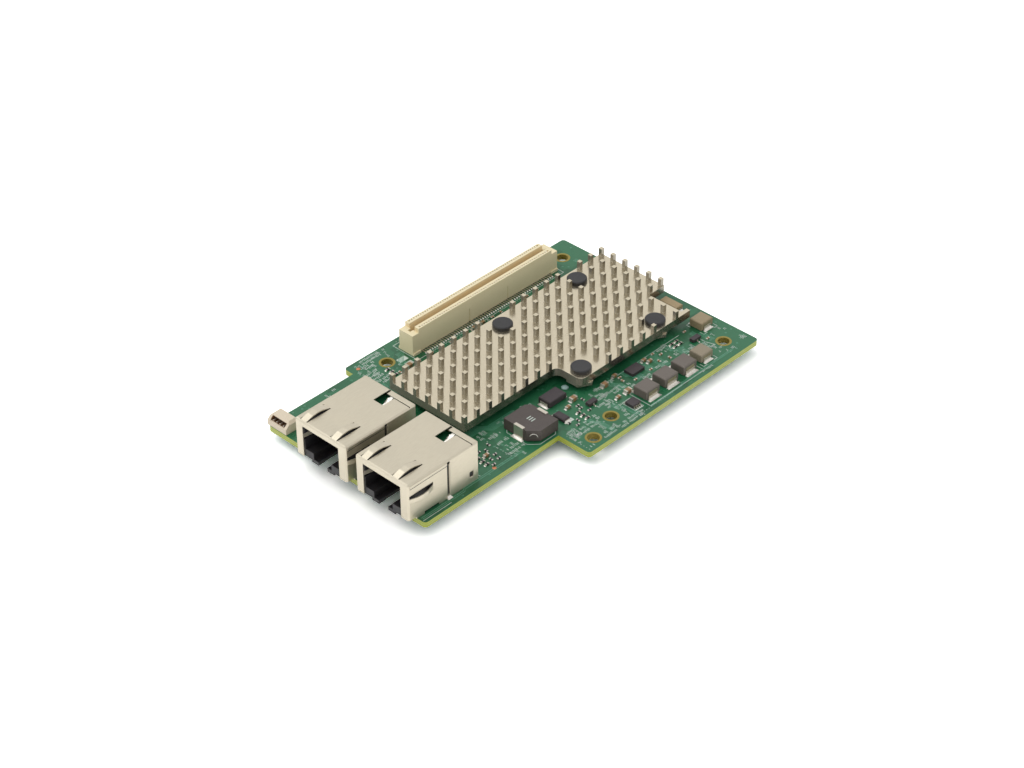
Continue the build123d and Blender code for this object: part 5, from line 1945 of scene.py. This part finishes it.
@dataclass
class CoilEnd:
    """Curled wire end at the foot of the large inductor's cut front corner."""

    radius: float = 1.0 * MM
    wire: float = 0.09 * MM
    level: float = 1.15 * MM
    front_cut: float = 2.5 * MM
    start: float = 95.0
    sweep: float = 155.0
    facing: float = -45.0
    corners: int = 8
    steps: int = 12

    def build(self, shop: Paintshop) -> None:
        """Spin the wire from a circle and stand it on the cut corner's face.

        Args:
            shop: The paintshop.
        """
        low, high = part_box("bulk_inductor_core")
        deselect_all()
        bpy.ops.mesh.primitive_circle_add(
            vertices=self.corners,
            radius=self.wire,
            fill_type="NGON",
            location=(self.radius, 0, 0),
            rotation=(math.radians(90), 0, 0),
        )
        curl = begin("coil_end")
        bpy.ops.object.transform_apply(location=True, rotation=True, scale=True)
        bpy.ops.object.mode_set(mode="EDIT")
        bpy.ops.mesh.select_all(action="SELECT")
        sweep = math.radians(-self.sweep)
        bpy.ops.mesh.spin(steps=self.steps, angle=sweep, center=(0, 0, 0), axis=(0, 0, 1))
        bpy.ops.mesh.select_all(action="SELECT")
        bpy.ops.mesh.normals_make_consistent(inside=False)
        bpy.ops.object.mode_set(mode="OBJECT")
        face_middle = Vector((high.x - self.front_cut / 2, low.y + self.front_cut / 2, low.z + self.level))
        outward = Vector((1, -1, 0)).normalized() * self.wire
        turned = Matrix.Rotation(math.radians(90), 4, "Y") @ Matrix.Rotation(math.radians(self.start), 4, "Z")
        stand = Matrix.Rotation(math.radians(self.facing), 4, "Z") @ turned
        curl.data.transform(Matrix.Translation(face_middle + outward) @ stand)
        shop.deliver(curl, SOLDER)


@dataclass
class SealedDome:
    """Pale sealed dome beside the heat sink's tab."""

    place: Point = (11.9, 7.15)
    radius: float = 0.95 * MM
    height: float = 0.55 * MM
    foot_share: float = 0.4
    bevel: float = 0.08 * MM
    corners: int = 28
    # Inset as a share of the radius and lift as a share of the height, for each step
    rises: tuple[Point, ...] = ((0.2, 0.28), (0.25, 0.2), (0.25, 0.12))
    upward: float = 0.9

    def build(self, shop: Paintshop) -> None:
        """Model the dome by insetting and lifting the top of a disc in steps.

        Args:
            shop: The paintshop.
        """
        dome = disc("sealed_dome", self.radius, self.height * self.foot_share, self.corners, self.bevel)
        for inset, lift in self.rises:
            top = max(corner.co.z for corner in dome.data.vertices)
            pick(dome, Pick.FACES, lambda centre, normal: normal.z > self.upward and centre.z > top - HAIR)
            bpy.ops.mesh.inset(thickness=inset * self.radius)
            bpy.ops.transform.translate(value=(0, 0, lift * self.height))
            bpy.ops.object.mode_set(mode="OBJECT")
        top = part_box("circuit_board")[1].z
        dome.data.transform(at(self.place[0] * MM, self.place[1] * MM, top))
        shop.deliver(dome, SEALANT)


# Studio


@dataclass
class Studio:
    """Pale floor, soft light and a camera at the photograph's angle."""

    azimuth: float = 43.761
    elevation: float = 36.596
    roll: float = -0.297
    distance: float = 0.60165
    focal_pixels: float = 2401.64
    image_width: int = 1024
    sensor: float = 36.0
    shift: Point = (-0.00217, -0.00566)
    aim: Triple = (0.0, 0.00135, 0.00405)
    clip: tuple[float, float] = (0.01, 20.0)
    ambient: float = 0.78
    floor_size: float = 6.0
    floor_level: float = -0.0001
    floor_lit: float = 0.85
    floor_seen: float = 1.6
    key_place: Triple = (-0.55, -0.3, 1.1)
    key_size: float = 1.2
    key_power: float = 5.4

    def floor(self) -> None:
        """Lay a pale floor that keeps the card's shadow and is clear from below."""
        deselect_all()
        bpy.ops.mesh.primitive_plane_add(size=self.floor_size, location=(0, 0, self.floor_level))
        piece = begin("studio_floor")
        material = bpy.data.materials.new("pale_floor")
        material.use_nodes = True
        material.node_tree.nodes.clear()
        sheet = NodeSheet(material.node_tree)
        level = sheet.between(sheet.seen(), 0.0, 1.0, self.floor_lit, self.floor_seen)
        diffuse = sheet.add("ShaderNodeBsdfDiffuse", {"Color": level})
        below = sheet.add("ShaderNodeNewGeometry").outputs["Backfacing"]
        clear = sheet.add("ShaderNodeBsdfTransparent")
        both = sheet.add("ShaderNodeMixShader", {0: below, 1: diffuse.outputs[0], 2: clear.outputs[0]})
        sheet.add("ShaderNodeOutputMaterial", {"Surface": both.outputs[0]})
        piece.data.materials.append(material)

    def world(self) -> None:
        """Light the scene evenly, with a white background for the camera and for reflections."""
        world = bpy.data.worlds.new("studio_world")
        bpy.context.scene.world = world
        world.use_nodes = True
        world.node_tree.nodes.clear()
        sheet = NodeSheet(world.node_tree)
        strength = sheet.between(sheet.seen(), 0.0, 1.0, self.ambient, 1.0)
        back = sheet.add("ShaderNodeBackground", {"Color": (1, 1, 1, 1), "Strength": strength})
        sheet.add("ShaderNodeOutputWorld", {"Surface": back.outputs[0]})

    def lamp(self, name: str, place: Sequence[float], size: float, power: float) -> None:
        """Hang one square soft lamp that points at the card.

        Args:
            name: The lamp's name.
            place: Where it hangs, in metres.
            size: Its width in metres.
            power: Its power in watts.
        """
        deselect_all()
        bpy.ops.object.light_add(type="AREA", location=place)
        lamp = bpy.context.object
        lamp.name = name
        lamp.data.shape = "SQUARE"
        lamp.data.size = size
        lamp.data.energy = power
        lamp.rotation_mode = "QUATERNION"
        lamp.rotation_quaternion = (Vector(self.aim) - Vector(place)).to_track_quat("-Z", "Y")

    def camera(self) -> None:
        """Set the camera that the photograph was solved for."""
        a, e = math.radians(self.azimuth), math.radians(self.elevation)
        back = Vector((math.sin(a) * math.cos(e), -math.cos(a) * math.cos(e), math.sin(e)))
        deselect_all()
        bpy.ops.object.camera_add(location=Vector(self.aim) + back * self.distance)
        camera = bpy.context.object
        camera.name = "photo_camera"
        turn = (-back).to_track_quat("-Z", "Y").to_matrix().to_4x4()
        roll = Matrix.Rotation(math.radians(self.roll), 4, "Z")
        camera.rotation_mode = "QUATERNION"
        camera.rotation_quaternion = (turn @ roll).to_quaternion()
        camera.data.sensor_width = self.sensor
        camera.data.lens = self.sensor * self.focal_pixels / self.image_width
        camera.data.shift_x, camera.data.shift_y = self.shift
        camera.data.clip_start, camera.data.clip_end = self.clip
        bpy.context.scene.camera = camera

    def build(self) -> None:
        """Set up the floor, the light and the camera."""
        bpy.context.scene.view_settings.view_transform = "Standard"
        self.floor()
        self.world()
        self.lamp("key_lamp", self.key_place, self.key_size, self.key_power)
        self.camera()


def main() -> None:
    """Dress the card, build its small pieces and set up the studio."""
    logging.basicConfig(level=logging.INFO, format="%(name)s %(message)s")
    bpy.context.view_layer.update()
    shop = Paintshop()
    shop.paint_solids()
    survey = BoardSurvey()
    PlatedHoles(survey).build(shop)
    SmallChips(survey).build(shop)
    Solder(survey).build(shop)
    Copperwork(survey).build(shop)
    Print(survey).build(shop)
    JackTrim(survey).build(shop)
    ConnectorRibs().build(shop)
    InductorPlates().build(shop)
    CoilEnd().build(shop)
    SealedDome().build(shop)
    Studio().build()


if __name__ == "__main__":
    main()
